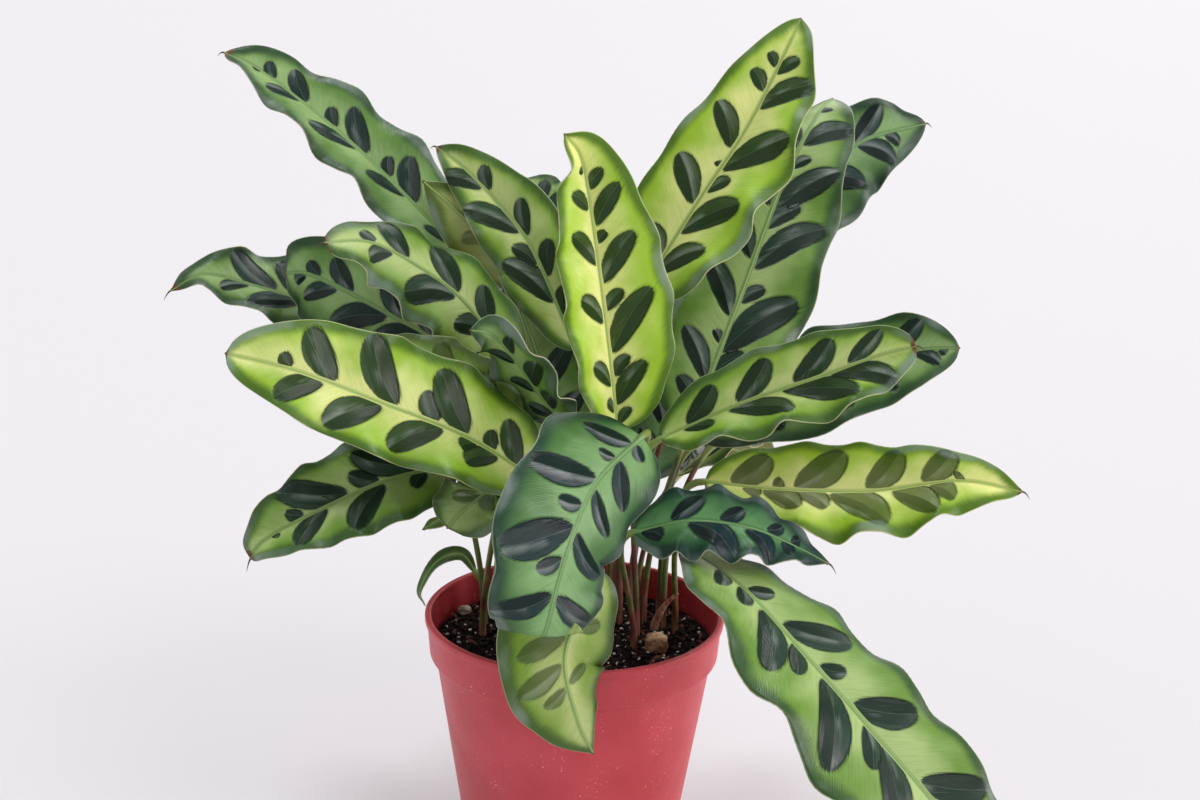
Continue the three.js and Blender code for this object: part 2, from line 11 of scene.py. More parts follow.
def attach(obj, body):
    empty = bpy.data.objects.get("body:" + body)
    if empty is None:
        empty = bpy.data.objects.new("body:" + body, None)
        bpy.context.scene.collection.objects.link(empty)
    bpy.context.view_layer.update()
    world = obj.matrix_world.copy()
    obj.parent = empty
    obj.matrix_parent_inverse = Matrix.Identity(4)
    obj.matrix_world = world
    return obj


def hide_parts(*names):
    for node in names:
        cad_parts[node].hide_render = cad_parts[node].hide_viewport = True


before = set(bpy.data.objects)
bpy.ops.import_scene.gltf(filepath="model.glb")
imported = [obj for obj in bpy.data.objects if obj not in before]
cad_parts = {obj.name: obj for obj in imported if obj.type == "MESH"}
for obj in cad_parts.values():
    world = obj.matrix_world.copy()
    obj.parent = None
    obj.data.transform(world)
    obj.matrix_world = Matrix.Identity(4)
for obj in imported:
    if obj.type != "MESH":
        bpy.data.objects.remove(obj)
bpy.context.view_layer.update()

# The view: a standing camera, a little above the plant and turned slightly on its own axis.
MM = 0.001
camera_place = Vector((8, -650, 379)) * MM
camera_down = 15.7
camera_roll = 1.5
camera_lens = 52.1

camera = bpy.data.objects.new("camera", bpy.data.cameras.new("camera"))
bpy.context.scene.collection.objects.link(camera)
camera.data.lens = camera_lens
camera.data.clip_start = 0.01
aim = Matrix.Rotation(math.radians(90 - camera_down), 4, "X")
camera.matrix_world = Matrix.Translation(camera_place) @ aim @ Matrix.Rotation(math.radians(camera_roll), 4, "Z")
bpy.context.scene.camera = camera


# A node tree is written as sums: adding or multiplying two Wires makes the Math node that does it.
class Wire:
    def __init__(self, tree, socket):
        self.tree = tree
        self.socket = socket

    def work(self, operation, *others):
        node = self.tree.nodes.new("ShaderNodeMath")
        node.operation = operation
        for socket, value in zip(node.inputs, (self, *others)):
            plug(socket, value)
        return Wire(self.tree, node.outputs[0])

    def __add__(self, other):
        return self.work("ADD", other)

    def __sub__(self, other):
        return self.work("SUBTRACT", other)

    def __mul__(self, other):
        return self.work("MULTIPLY", other)

    def __truediv__(self, other):
        return self.work("DIVIDE", other)

    def __pow__(self, other):
        return self.work("POWER", other)

    def to_step(self, start, end):
        """0 before start, 1 after end, and smooth in between. Start may be the larger of the two."""
        node = self.tree.nodes.new("ShaderNodeMapRange")
        node.interpolation_type = "SMOOTHSTEP"
        for name, value in (("Value", self), ("From Min", start), ("From Max", end)):
            plug(node.inputs[name], value)
        return Wire(self.tree, node.outputs[0])


def plug(socket, value):
    if isinstance(value, Wire):
        value.tree.links.new(value.socket, socket)
    else:
        socket.default_value = value


def put(tree, kind, plugs=(), **settings):
    """A new node with its settings and inputs, an input by its name or its number."""
    node = tree.nodes.new(kind)
    for name, value in settings.items():
        setattr(node, name, value)
    for key, value in dict(plugs).items():
        plug(node.inputs[key], value)
    return node


def out(node, key=0):
    return Wire(node.id_data, node.outputs[key])


def paint(red, green, blue):
    """A colour as a screen shows it, from 0 to 255, as the linear numbers that a shader takes."""
    shares = (red / 255, green / 255, blue / 255)
    return [c / 12.92 if c < 0.04 else ((c + 0.055) / 1.055) ** 2.4 for c in shares] + [1]


def blend_colours(share, low, high, mode="MIX"):
    tree = share.tree
    node = put(tree, "ShaderNodeMix", data_type="RGBA", blend_type=mode)
    for key, value in ((0, share), (6, low), (7, high)):
        plug(node.inputs[key], value)
    return Wire(tree, node.outputs[2])


def new_finish(name, shine=0.5):
    """A material with its Principled shader, ready for wires. Half shine is plain glossy plastic."""
    made = bpy.data.materials.new(name)
    made.use_nodes = True
    shader = made.node_tree.nodes["Principled BSDF"]
    shader.inputs["Specular IOR Level"].default_value = shine
    return made, made.node_tree, shader


def mottle(tree, scale, detail=3.0, stretch=None, vector=None):
    """Soft cloudy noise over the object's own coordinates, from 0 to 1, with 0.5 in the middle."""
    if vector is None:
        vector = Wire(tree, put(tree, "ShaderNodeTexCoord").outputs["Object"])
    if stretch:
        vector = out(put(tree, "ShaderNodeMapping", {0: vector, 3: stretch}))
    return out(put(tree, "ShaderNodeTexNoise", {"Vector": vector, "Scale": scale, "Detail": detail}))


def roughen(tree, shader, height, depth):
    """A fine relief in the finish, depth metres high."""
    bump = put(tree, "ShaderNodeBump", {"Height": height, "Distance": depth, "Strength": 1.0})
    plug(shader.inputs["Normal"], out(bump))


# The studio: a pale floor without end, a bright even surround, and wide soft lamps.
floor_reach = 30.0
floor_colour = paint(184, 182, 184)
floor_glow = 0.62
bpy.context.scene.view_settings.view_transform = "Standard"

floor_mesh = bpy.data.meshes.new("floor")
corners = [(-floor_reach, -floor_reach, 0), (floor_reach, -floor_reach, 0),
           (floor_reach, floor_reach, 0), (-floor_reach, floor_reach, 0)]
floor_mesh.from_pydata(corners, [], [(0, 1, 2, 3)])
floor = bpy.data.objects.new("floor", floor_mesh)
bpy.context.scene.collection.objects.link(floor)
floor_finish, floor_tree, floor_shader = new_finish("pale_floor")
floor_shader.inputs["Base Color"].default_value = floor_colour
floor_shader.inputs["Roughness"].default_value = 0.8
floor_shader.inputs["Emission Color"].default_value = floor_colour
floor_shader.inputs["Emission Strength"].default_value = floor_glow
floor_mesh.materials.append(floor_finish)

surround = bpy.data.worlds.new("surround")
surround.use_nodes = True
surround.node_tree.nodes["Background"].inputs["Color"].default_value = (0.94, 0.95, 1.0, 1)
surround.node_tree.nodes["Background"].inputs["Strength"].default_value = 0.4
bpy.context.scene.world = surround


def soft_sun(name, towards, strength, spread, tint=(1, 1, 1)):
    """A wide lamp at a great distance, shining towards a direction."""
    lamp = bpy.data.objects.new(name, bpy.data.lights.new(name, "SUN"))
    bpy.context.scene.collection.objects.link(lamp)
    lamp.data.energy = strength
    lamp.data.color = tint
    lamp.data.angle = math.radians(spread)
    lamp.rotation_mode = "QUATERNION"
    lamp.rotation_quaternion = Vector(towards).to_track_quat("-Z", "Y")


soft_sun("key", (-0.6, 0.6, -1), 0.8, 30)
soft_sun("top", (0.1, -0.3, -1), 1.2, 18)
soft_sun("fill", (0.8, 0.5, -0.6), 0.25, 60)
soft_sun("rim", (-0.35, -0.9, -0.5), 0.75, 36)
soft_sun("side", (-1, 0.25, -0.06), 3.0, 40, (1, 0.84, 0.94))


def settle(piece):
    """Turns the piece's live modifiers into the plain mesh that they make."""
    graph = bpy.context.evaluated_depsgraph_get()
    made = bpy.data.meshes.new_from_object(piece.evaluated_get(graph), preserve_all_data_layers=True,
                                           depsgraph=graph)
    piece.modifiers.clear()
    piece.data = made


def new_piece(name, mesh):
    piece = bpy.data.objects.new(name, mesh)
    bpy.context.scene.collection.objects.link(piece)
    return piece


def seat(piece, slot, *nodes):
    """Every piece stands in the one body of the plant, and may stand for a node of the model."""
    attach(piece, "root")
    if nodes:
        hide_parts(*nodes)


# The pot: a thin nursery pot of moulded red plastic, with a collar and a rolled lip round its mouth.
# The plastic is satin, a little chalky with age, and flecked with pale specks of dust and scuffs.
pot_height = 108 * MM
rim_radius = 60 * MM
collar_foot = 91 * MM
collar_foot_radius = 58 * MM
collar_step = 0.8 * MM
wall_top_radius = 55.5 * MM
base_radius = 41.5 * MM
base_round = 1 * MM
wall = 1.4 * MM
lip_width = 2.6 * MM
lip_height = 2.6 * MM
lip_round = 0.5 * MM
floor_thickness = 2 * MM
drain_holes = 8
drain_radius = 4 * MM
drain_ring = 30 * MM
pot_sides = 160


def turned(name, profile, sides):
    """A closed round mesh from its half profile, which starts and ends on the axis."""
    shape = bmesh.new()
    ends = [shape.verts.new((0, 0, profile[0][1])), shape.verts.new((0, 0, profile[-1][1]))]
    rings = []
    for radius, height in profile[1:-1]:
        turns = [2 * math.pi * k / sides for k in range(sides)]
        rings.append([shape.verts.new((radius * math.cos(a), radius * math.sin(a), height)) for a in turns])
    for k in range(sides):
        after = (k + 1) % sides
        shape.faces.new((ends[0], rings[0][after], rings[0][k]))
        for low, high in zip(rings, rings[1:]):
            shape.faces.new((low[k], low[after], high[after], high[k]))
        shape.faces.new((ends[1], rings[-1][k], rings[-1][after]))
    mesh = bpy.data.meshes.new(name)
    shape.to_mesh(mesh)
    shape.free()
    return mesh


def rounded(points, radius, steps=4):
    """A profile whose inner corners are rounded off, each by short chords of a curve."""
    smooth = [points[0]]
    for before, corner, after in zip(points, points[1:], points[2:]):
        c = Vector(corner)
        reach = [min(radius, (Vector(p) - c).length * 0.45) for p in (before, after)]
        start = c + (Vector(before) - c).normalized() * reach[0]
        end = c + (Vector(after) - c).normalized() * reach[1]
        for k in range(steps + 1):
            t = k / steps
            smooth.append(tuple(start * (1 - t) ** 2 + c * 2 * t * (1 - t) + end * t * t))
    return smooth + [points[-1]]


pot_profile = rounded([
    (0, 0),
    (base_radius, 0),
    (wall_top_radius, collar_foot - collar_step),
    (collar_foot_radius, collar_foot + collar_step),
    (rim_radius - 2 * lip_round, pot_height - lip_height - 2 * lip_round),
    (rim_radius, pot_height - lip_height),
    (rim_radius, pot_height),
    (rim_radius - lip_width, pot_height),
    (collar_foot_radius - wall, collar_foot + 2 * collar_step),
    (wall_top_radius - wall, collar_foot - collar_step),
    (base_radius - wall, floor_thickness),
    (0, floor_thickness),
], 0.8 * MM)
pot = new_piece("red_pot", turned("red_pot", pot_profile, pot_sides))
drills = bmesh.new()
for k in range(drain_holes):
    turn = 2 * math.pi * (k + 0.5) / drain_holes
    spot = Matrix.Translation((drain_ring * math.cos(turn), drain_ring * math.sin(turn), 0))
    bmesh.ops.create_cone(drills, cap_ends=True, segments=32, radius1=drain_radius, radius2=drain_radius,
                          depth=6 * floor_thickness, matrix=spot)
drill_mesh = bpy.data.meshes.new("drills")
drills.to_mesh(drill_mesh)
drill = new_piece("drills", drill_mesh)
cut = pot.modifiers.new("drain holes", "BOOLEAN")
cut.operation = "DIFFERENCE"
cut.solver = "EXACT"
cut.object = drill
settle(pot)
bpy.data.objects.remove(drill)
pot.data.shade_smooth()
pot.data.set_sharp_from_angle(angle=math.radians(40))

red_plastic, tree, shader = new_finish("red_plastic")
clouds = mottle(tree, 28, 4)
specks = mottle(tree, 1200, 2).to_step(0.65, 0.7)
spread_of_specks = mottle(tree, 60, 2).to_step(0.45, 0.65)
colour = blend_colours(clouds.to_step(0.3, 0.7), paint(188, 54, 60), paint(208, 70, 80))
colour = blend_colours(specks * spread_of_specks * 0.7, colour, paint(238, 186, 184))
plug(shader.inputs["Base Color"], colour)
plug(shader.inputs["Roughness"], mottle(tree, 90, 3) * 0.16 + 0.36)
roughen(tree, shader, mottle(tree, 700, 2), 0.00012)
pot.data.materials.clear()
pot.data.materials.append(red_plastic)
seat(pot, "pot_red", "pot")


# The soil: dark fibrous peat, a little under the rim, heaped and uneven where the stalks rise.
# Crumbs of peat, white perlite grains and slivers of reddish bark lie all over it.
soil_level = 95.5 * MM
soil_heap = 2.5 * MM
swell = 0.7 * MM
ripple = 0.4 * MM
soil_gap = 0.4 * MM
soil_sides = 220
soil_rings = 60


def soil_height(x, y):
    """The height of the soil's surface, without its grain, at a place in metres."""
    away = min(math.hypot(x, y) / wall_top_radius, 1)
    swells = swell * math.sin(0.21 * x / MM + 0.6) * math.cos(0.26 * y / MM)
    uneven = swells + ripple * math.sin((0.47 * x - 0.39 * y) / MM)
    return soil_level + soil_heap * (1 - away * away) + uneven * (1 - away ** 4)


foot_radius = base_radius - wall - soil_gap
shoulder_radius = wall_top_radius - wall - soil_gap
top_radius = 55.4 * MM
soil_profile = [(0, floor_thickness + soil_gap), (foot_radius, floor_thickness + soil_gap),
                (shoulder_radius, collar_foot - collar_step)]
soil_profile += [(top_radius * k / soil_rings, soil_level) for k in range(soil_rings, -1, -1)]
soil = new_piece("peat", turned("peat", soil_profile, soil_sides))
for vertex in soil.data.vertices:
    x, y, z = vertex.co
    if z > soil_level - soil_gap:
        grain = noise.fractal(vertex.co * 260, 0.8, 2.0, 5)
        edge = min((top_radius - math.hypot(x, y)) / (2 * MM), 1)
        vertex.co.z = soil_height(x, y) + grain * 1.0 * MM * max(edge, 0)
soil.data.shade_smooth()

peat, tree, shader = new_finish("peat", 0.15)
fibres = mottle(tree, 1500, 4)
colour = blend_colours(mottle(tree, 420, 3).to_step(0.35, 0.7), paint(8, 6, 5), paint(26, 18, 15))
colour = blend_colours(fibres.to_step(0.62, 0.75) * 0.6, colour, paint(80, 58, 48))
plug(shader.inputs["Base Color"], colour)
shader.inputs["Roughness"].default_value = 0.9
roughen(tree, shader, fibres, 0.0008)
soil.data.materials.append(peat)
seat(soil, "soil", "soil")


def scatter_tree():
    """Lumps strewn over a ground: each a small ball, pressed, turned and knocked out of round."""
    tree = bpy.data.node_groups.new("strewn lumps", "GeometryNodeTree")
    face = tree.interface
    face.new_socket("Ground", in_out="INPUT", socket_type="NodeSocketGeometry")
    for name, kind in (("Spacing", "Float"), ("Number per m2", "Float"), ("Seed", "Int"), ("Smallest", "Float"),
                       ("Largest", "Float"), ("Length", "Float"), ("Flatness", "Float"), ("Reach", "Float"),
                       ("Rise", "Float"), ("Material", "Material")):
        face.new_socket(name, in_out="INPUT", socket_type="NodeSocket" + kind)
    face.new_socket("Lumps", in_out="OUTPUT", socket_type="NodeSocketGeometry")
    given = put(tree, "NodeGroupInput")
    ins = {socket.name: Wire(tree, socket) for socket in given.outputs if socket.name}
    place = put(tree, "ShaderNodeSeparateXYZ", {0: out(put(tree, "GeometryNodeInputPosition"))})
    slope = put(tree, "ShaderNodeSeparateXYZ", {0: out(put(tree, "GeometryNodeInputNormal"))})
    away = (out(place, 0) ** 2.0 + out(place, 1) ** 2.0).work("SQRT")
    upward = out(slope, 2).work("GREATER_THAN", 0.2)
    within = ins["Reach"].work("GREATER_THAN", away)
    top = upward * within
    points = put(tree, "GeometryNodeDistributePointsOnFaces", distribute_method="POISSON")
    for name, value in (("Mesh", ins["Ground"]), ("Selection", top), ("Distance Min", ins["Spacing"]),
                        ("Density Max", ins["Number per m2"]), ("Seed", ins["Seed"])):
        plug(points.inputs[name], value)
    ball = put(tree, "GeometryNodeMeshIcoSphere", {"Radius": 0.5, "Subdivisions": 2})
    size = put(tree, "FunctionNodeRandomValue", data_type="FLOAT")
    for key, value in ((2, ins["Smallest"]), (3, ins["Largest"]), (8, ins["Seed"])):
        plug(size.inputs[key], value)
    across = out(size, 1)
    shape = put(tree, "ShaderNodeCombineXYZ", {0: across * ins["Length"], 1: across, 2: across * ins["Flatness"]})
    turn = put(tree, "FunctionNodeRandomValue", data_type="FLOAT_VECTOR")
    for key, value in ((0, (-0.5, -0.5, 0.0)), (1, (0.5, 0.5, 2 * math.pi)), (8, ins["Seed"])):
        plug(turn.inputs[key], value)
    strewn = put(tree, "GeometryNodeInstanceOnPoints", {"Points": out(points), "Instance": out(ball),
                                                        "Rotation": out(turn), "Scale": out(shape)})
    real = put(tree, "GeometryNodeRealizeInstances", {0: out(strewn)})
    knock = put(tree, "ShaderNodeTexNoise", {"Scale": 900.0, "Detail": 1.0})
    centred = put(tree, "ShaderNodeVectorMath", {0: out(knock, "Color"), 1: (0.5, 0.5, 0.5)}, operation="SUBTRACT")
    pushed = put(tree, "ShaderNodeVectorMath", {0: out(centred)}, operation="SCALE")
    plug(pushed.inputs["Scale"], ins["Largest"] * 0.7)
    lifted = put(tree, "ShaderNodeCombineXYZ", {2: ins["Rise"]})
    moved = put(tree, "ShaderNodeVectorMath", {0: out(pushed), 1: out(lifted)}, operation="ADD")
    placed = put(tree, "GeometryNodeSetPosition", {"Geometry": out(real), "Offset": out(moved)})
    finished = put(tree, "GeometryNodeSetMaterial", {"Geometry": out(placed), "Material": ins["Material"]})
    put(tree, "NodeGroupOutput", {0: out(finished)})
    return tree


def set_inputs(modifier, **values):
    """Sets a Geometry Nodes modifier's inputs: a name's underscores stand for its spaces."""
    for item in modifier.node_group.interface.items_tree:
        key = item.name.replace(" ", "_")
        if item.in_out == "INPUT" and key in values:
            modifier[item.identifier] = values.pop(key)
    assert not values, values


strewn_lumps = scatter_tree()


def strew(name, slot, finish, **sizes):
    lumps = new_piece(name, soil.data.copy())
    scatter = lumps.modifiers.new("strewn lumps", "NODES")
    scatter.node_group = strewn_lumps
    set_inputs(scatter, Material=finish, Reach=top_radius - 1.5 * MM, **sizes)
    settle(lumps)
    seat(lumps, slot)


crumb_finish, tree, shader = new_finish("peat_crumbs", 0.15)
colour = blend_colours(mottle(tree, 300, 2).to_step(0.35, 0.65), paint(9, 6, 5), paint(38, 24, 20))
plug(shader.inputs["Base Color"], blend_colours(mottle(tree, 2200, 3).to_step(0.6, 0.72) * 0.5, colour,
                                                paint(120, 92, 78)))
shader.inputs["Roughness"].default_value = 0.75
roughen(tree, shader, mottle(tree, 2500, 3), 0.0003)
perlite_finish, tree, shader = new_finish("perlite")
plug(shader.inputs["Base Color"], blend_colours(mottle(tree, 1600, 3).to_step(0.3, 0.7), paint(176, 168, 160),
                                                paint(232, 226, 218)))
shader.inputs["Roughness"].default_value = 0.85
roughen(tree, shader, mottle(tree, 3000, 3), 0.0003)
bark_finish, tree, shader = new_finish("bark", 0.25)
plug(shader.inputs["Base Color"], blend_colours(mottle(tree, 900, 3).to_step(0.3, 0.7), paint(62, 30, 26),
                                                paint(112, 66, 52)))
shader.inputs["Roughness"].default_value = 0.7
roughen(tree, shader, mottle(tree, 1500, 3), 0.0004)
strew("peat_crumbs", "soil", crumb_finish, Spacing=1.5 * MM, Number_per_m2=190000.0, Seed=3, Smallest=0.9 * MM,
      Largest=3.0 * MM, Length=1.5, Flatness=0.7, Rise=0.2 * MM)
strew("bark_slivers", "soil", bark_finish, Spacing=3.0 * MM, Number_per_m2=30000.0, Seed=11, Smallest=0.7 * MM,
      Largest=1.8 * MM, Length=3.2, Flatness=0.5, Rise=0.7 * MM)
strew("perlite_grains", "soil", perlite_finish, Spacing=3.0 * MM, Number_per_m2=46000.0, Seed=29,
      Smallest=0.45 * MM, Largest=1.6 * MM, Length=1.2, Flatness=0.8, Rise=0.8 * MM)


# The leaves: each is one waved, lance-shaped blade on a slim stalk that stands in a hole in the soil.
# Places are in millimetres, as in the part's own source. Foot is where the stalk leaves the soil, rib
# runs from the blade's base to its tip, and face is the way that the upper side looks at both ends.
# A pair holds first the half on the left of the rib, looking from base to tip with the upper side up.
# Tone runs from 0, a young yellow-green leaf, to 1, an old blue-green one. Spots are each half's dark
# ovals, as 36/9 for one whose middle is 36 hundredths along the rib and which reaches out over 9 tenths
# of the half. Lean is their angle to the rib in each half, and plump makes them wider than usual.
# Dry_tip is how many millimetres of the tip have dried brown.
# A leaf may also be mixed towards a flat olive: partly the duller colour of an older leaf, partly painted shade where
# it lies in the shadow of others.
leaves = [
    dict(name="leaf_upper_left", foot=[-13, 42], width=46, full=0.4, tip=0.55, tone=0.8,
         rib=[[-45, 38, 240], [-75, 50, 268], [-101, 58, 290], [-133, 65, 313], [-148, 66, 320]],
         face=[[0.1, -0.5, 0.9], [0.1, -0.5, 0.9]], fold=[30, 30],
         waves=4, ruffle=[4, 3], phase=[0.6, 0.65], dry_tip=4,
         lean=[32, 38], spots=["14/4 36/5 58/6 78/5 89/2", "14/6 32/6 40/3 54/6 62/3 76/6 86/4"]),
    dict(name="leaf_upper_centre_left", foot=[4, 14], width=38, full=0.6, tip=0.7, tone=0.5,
         rib=[[-2, 16, 212], [-20, 25, 250], [-36, 31, 269], [-49, 34, 281], [-59, 36, 288]],
         face=[[-0.3, -0.9, 0.3], [-0.1, -0.8, 0.6]], fold=[30, 30],
         waves=3, ruffle=[4, 2], phase=[0.25, 0.3], dry_tip=3,
         lean=[30, 34], spots=["33/8 43/4 63/8 83/8", "20/5 38/5 56/5 77/5"]),
    dict(name="leaf_centre_bright", foot=[13, 2], width=59, full=0.45, tip=0.65, tone=0.1,
         rib=[[15, -8, 186], [9, -16, 232], [3, -21, 272], [-1, -25, 293], [-7, -34, 303]],
         face=[[0.4, -0.9, 0.3], [0.1, -1, 0.2]], fold=[50, 35],
         waves=5, ruffle=[4, 1], phase=[-0.3, 0.85], slot="leaf_bright", plump=0.85,
         lean=[46, 40], spots=["10/4 22/6 43/6 62/6 76/5 85/2", "06/4 17/6 23/3 37/7 44/3 57/6 64/2 74/6 82/4"]),
    dict(name="leaf_upper_right_bright", foot=[18, 12], width=56, full=0.4, tip=0.65, tone=0.14,
         rib=[[23, 20, 235], [45, 25, 272], [62, 29, 299], [76, 34, 328], [82, 40, 341]],
         face=[[-0.6, -0.6, 0.5], [-0.5, -0.8, 0.4]], fold=[50, 10],
         waves=4, ruffle=[0.5, 4], phase=[0, 0.6], slot="leaf_bright", plump=1,
         lean=[54, 42], spots=["17/5 38/7 47/1 59/7 76/5 84/4", "15/7 32/7 42/3 56/8 75/8 84/5"]),
    dict(name="leaf_right_dark_tall", foot=[28, 16], width=54, full=0.32, tip=0.5, tone=0.7,
         rib=[[44, 9, 184], [63, 27, 234], [78, 44, 274], [92, 60, 300], [101, 78, 307]],
         face=[[0, -0.9, 0.4], [-0.4, -0.6, 0.6]], fold=[0, -5],
         waves=4, ruffle=[3, 4], phase=[0.15, 0.35], plump=0.9,
         lean=[42, 36], spots=["08/6 18/7 24/2 36/7 51/7 66/7 80/6", "12/7 18/4 30/8 36/3 51/8 58/4 67/8 73/3 83/8 91/3"]),
    dict(name="leaf_right_back", foot=[23, 34], width=44, full=0.5, tip=0.65, tone=0.88,
         rib=[[73, 62, 245], [95, 74, 273], [115, 82, 289], [143, 92, 296]],
         face=[[-0.1, -0.7, 0.7], [0.2, -0.9, 0.5]], fold=[30, -10],
         waves=4, ruffle=[4, 3], phase=[0, 0.2], dry_tip=2.5,
         lean=[36, 36], spots=["20/7 38/7 56/7 72/7", "28/7 48/7 73/7 82/4"]),
    dict(name="leaf_left_far", foot=[-21, 38], width=42, full=0.8, tip=1, tone=0.76,
         rib=[[-78, 56, 208], [-106, 56, 217], [-133, 52, 226], [-155, 47, 232], [-168, 42, 226]],
         face=[[-0.1, -0.4, 0.9], [-0.1, -0.8, 0.5]], fold=[35, 5],
         waves=4, ruffle=[3.5, 4], phase=[0.8, 0.25], dry_tip=6,
         lean=[30, 30], spots=["30/7 51/7 71/5", "24/7 44/7 64/7"]),
    dict(name="leaf_left_behind", foot=[-17, 28], width=42, full=0.6, tip=0.4, tone=0.82,
         rib=[[-51, 28, 208], [-75, 30, 220], [-93, 32, 229], [-110, 34, 236], [-119, 30, 237]],
         face=[[-0.2, -0.8, 0.5], [-0.2, -0.9, 0.3]], fold=[0, 15],
         waves=4, ruffle=[3, 2], phase=[0.85, 0.1],
         lean=[36, 40], spots=["30/7 53/7 78/5 91/3", "20/7 40/7 70/5 85/3"]),
    dict(name="leaf_left_light", foot=[-5, 5], width=38, full=0.4, tip=0.5, tone=0.58,
         rib=[[-23, 2, 207], [-46, 0, 235], [-62, -4, 248], [-79, -10, 258], [-95, -18, 259]],
         face=[[-0.1, -0.6, 0.8], [0, -0.6, 0.8]], fold=[0, 5],
         waves=4, ruffle=[4, 2], phase=[0.65, 0.5], plump=1.1, dry_tip=3,
         lean=[32, 44], spots=["27/5 51/7 77/5", "28/7 48/8 71/8 82/4"]),
    dict(name="leaf_left_large", foot=[-10, -12], width=52, full=0.4, tip=0.5, tone=0.26,
         rib=[[-14, -22, 169], [-40, -32, 189], [-72, -42, 205], [-100, -50, 218], [-125, -54, 225]],
         face=[[0, -0.8, 0.7], [-0.1, -1, 0.2]], fold=[40, 15],
         waves=4, ruffle=[4, 4], phase=[0.1, 0.8], plump=1.1,
         lean=[42, 46], spots=["22/6 27/3 43/8 62/8 79/7", "14/7 20/3 35/8 41/4 58/9 75/8 84/3"]),
    dict(name="leaf_small_centre_left", foot=[4, -5], width=35, full=0.7, tip=0.8, tone=0.76,
         rib=[[-3, -14, 187], [-15, -21, 204], [-24, -28, 219], [-32, -32, 229], [-40, -34, 231]],
         face=[[-0.7, -0.7, 0.2], [-0.6, -0.7, 0.3]], fold=[10, 20],
         waves=3, ruffle=[4, 3], phase=[0.75, 0.05],
         lean=[50, 40], spots=["21/7 43/5 69/7", "32/7 53/7 76/5"]),
    dict(name="leaf_left_lower", foot=[-37, 9], width=44, full=0.5, tip=0.6, tone=0.62,
         rib=[[-47, -10, 171], [-70, -24, 170], [-99, -36, 159], [-116, -42, 150], [-121, -42, 143]],
         face=[[-0.1, -0.9, 0.3], [-0.3, -0.7, 0.7]], fold=[30, 45],
         waves=5, ruffle=[1.5, 2.5], phase=[0.45, 0], pull=0, dry_tip=4,
         lean=[40, 36], spots=["19/4 45/8 70/7 84/2", "32/8 42/4 63/8 74/3"]),
    dict(name="leaf_front", foot=[3, -18], width=54, full=0.34, tip=0.44, tone=0.92,
         rib=[[24, -36, 193], [8, -62, 184], [0, -82, 171], [-5, -89, 155], [-8, -91, 141],
              [-10, -89, 135], [-11, -80, 137]],
         face=[[0.77, -0.6, 0.6], [0.3, -0.6, -0.9]], fold=[20, -16],
         waves=2.8, ruffle=[2.8, 3], phase=[0.04, 0.3], ripe=0.1,
         lean=[56, 60], spots=["07/4 22/7 39/6 60/8 80/8", "11/8 19/3 36/9 45/4 58/9 65/4 79/9"]),
    dict(name="leaf_front_lower", foot=[6, -30], width=45, full=0.83, tip=0.88, tone=0.5,
         rib=[[7, -44, 147], [7, -58, 143], [-2, -79, 124], [3, -86, 102], [9, -82, 87]],
         face=[[0.2, -0.7, 0.6], [0.6, -0.8, 0]], fold=[-16, -20],
         waves=3.8, ruffle=[2.2, 0.4], phase=[-0.15, 0.2], slot="leaf_bright", plump=0.75, depth=0.7, shade_and_olive=0.2,
         lean=[132, 62], spots=["34/5 60/5", "34/7 50/7 61/8 69/5"]),
    dict(name="leaf_right", foot=[25, 0], width=44, full=0.45, tip=0.45, tone=0.46,
         rib=[[32, -6, 183], [62, -10, 199], [91, -12, 211], [113, -12, 220], [127, -12, 224]],
         face=[[0, -0.3, 0.9], [0, -0.7, 0.7]], fold=[60, 20],
         waves=4, ruffle=[1, 4], phase=[0.4, 0.35], dry_tip=3,
         lean=[38, 30], spots=["19/7 40/7 63/7 82/7", "16/5 40/7 62/7 79/7"]),
    dict(name="leaf_right_behind", foot=[35, 24], width=46, full=0.65, tip=0.55, tone=0.8,
         rib=[[49, 22, 174], [84, 24, 192], [112, 24, 207], [133, 22, 214], [150, 20, 216]],
         face=[[0, -0.3, 0.9], [0, -0.7, 0.7]], fold=[50, 10],
         waves=3, ruffle=[4, 1.5], phase=[0.6, 0.7],
         lean=[38, 34], spots=["26/7 50/7 80/7", "22/7 46/7 66/7 88/5 94/2"]),
    dict(name="leaf_right_yellow", foot=[36, 10], width=46, full=0.45, tip=0.75, tone=0,
         rib=[[50, 0, 164], [79, -4, 163], [114, -12, 166], [146, -18, 173], [170, -20, 170]],
         face=[[0.1, -0.3, 1], [0, -0.7, 0.7]], fold=[45, 10],
         waves=5, ruffle=[1, 4], phase=[0.6, 0.65], slot="leaf_bright", plump=1.25, depth=0.85, shade_and_olive=0.08, dry_tip=2.5,
         lean=[44, 36], spots=["14/8 23/2 37/8 58/8 74/8 80/1", "15/3 25/5 35/4 49/7 66/7 75/5"]),
    dict(name="leaf_right_lower_small", foot=[24, -12], width=33, full=0.45, tip=0.9, tone=1,
         rib=[[22, -27, 152], [43, -32, 159], [65, -38, 159], [82, -40, 153], [95, -42, 147]],
         face=[[0.1, -0.3, 0.9], [0.1, -0.4, 0.9]], fold=[40, 0],
         waves=5, ruffle=[2, 3], phase=[0.2, 0.1], plump=1.1, dry_tip=2.5,
         lean=[42, 30], spots=["27/7 49/5 70/5 81/4", "10/5 42/8 65/7 78/5"]),
    dict(name="leaf_right_drooping", foot=[41, 8], width=58, full=0.5, tip=0.45, tone=0.68,
         rib=[[43, -26, 146], [63, -52, 140], [84, -74, 124], [106, -90, 104], [128, -98, 81],
              [146, -102, 59], [160, -103, 38]],
         face=[[0.6, 0, 0.8], [0.6, -0.7, 0.4]], fold=[40, -5],
         waves=5, ruffle=[2, 3.5], phase=[0.65, 0.1], plump=1.05,
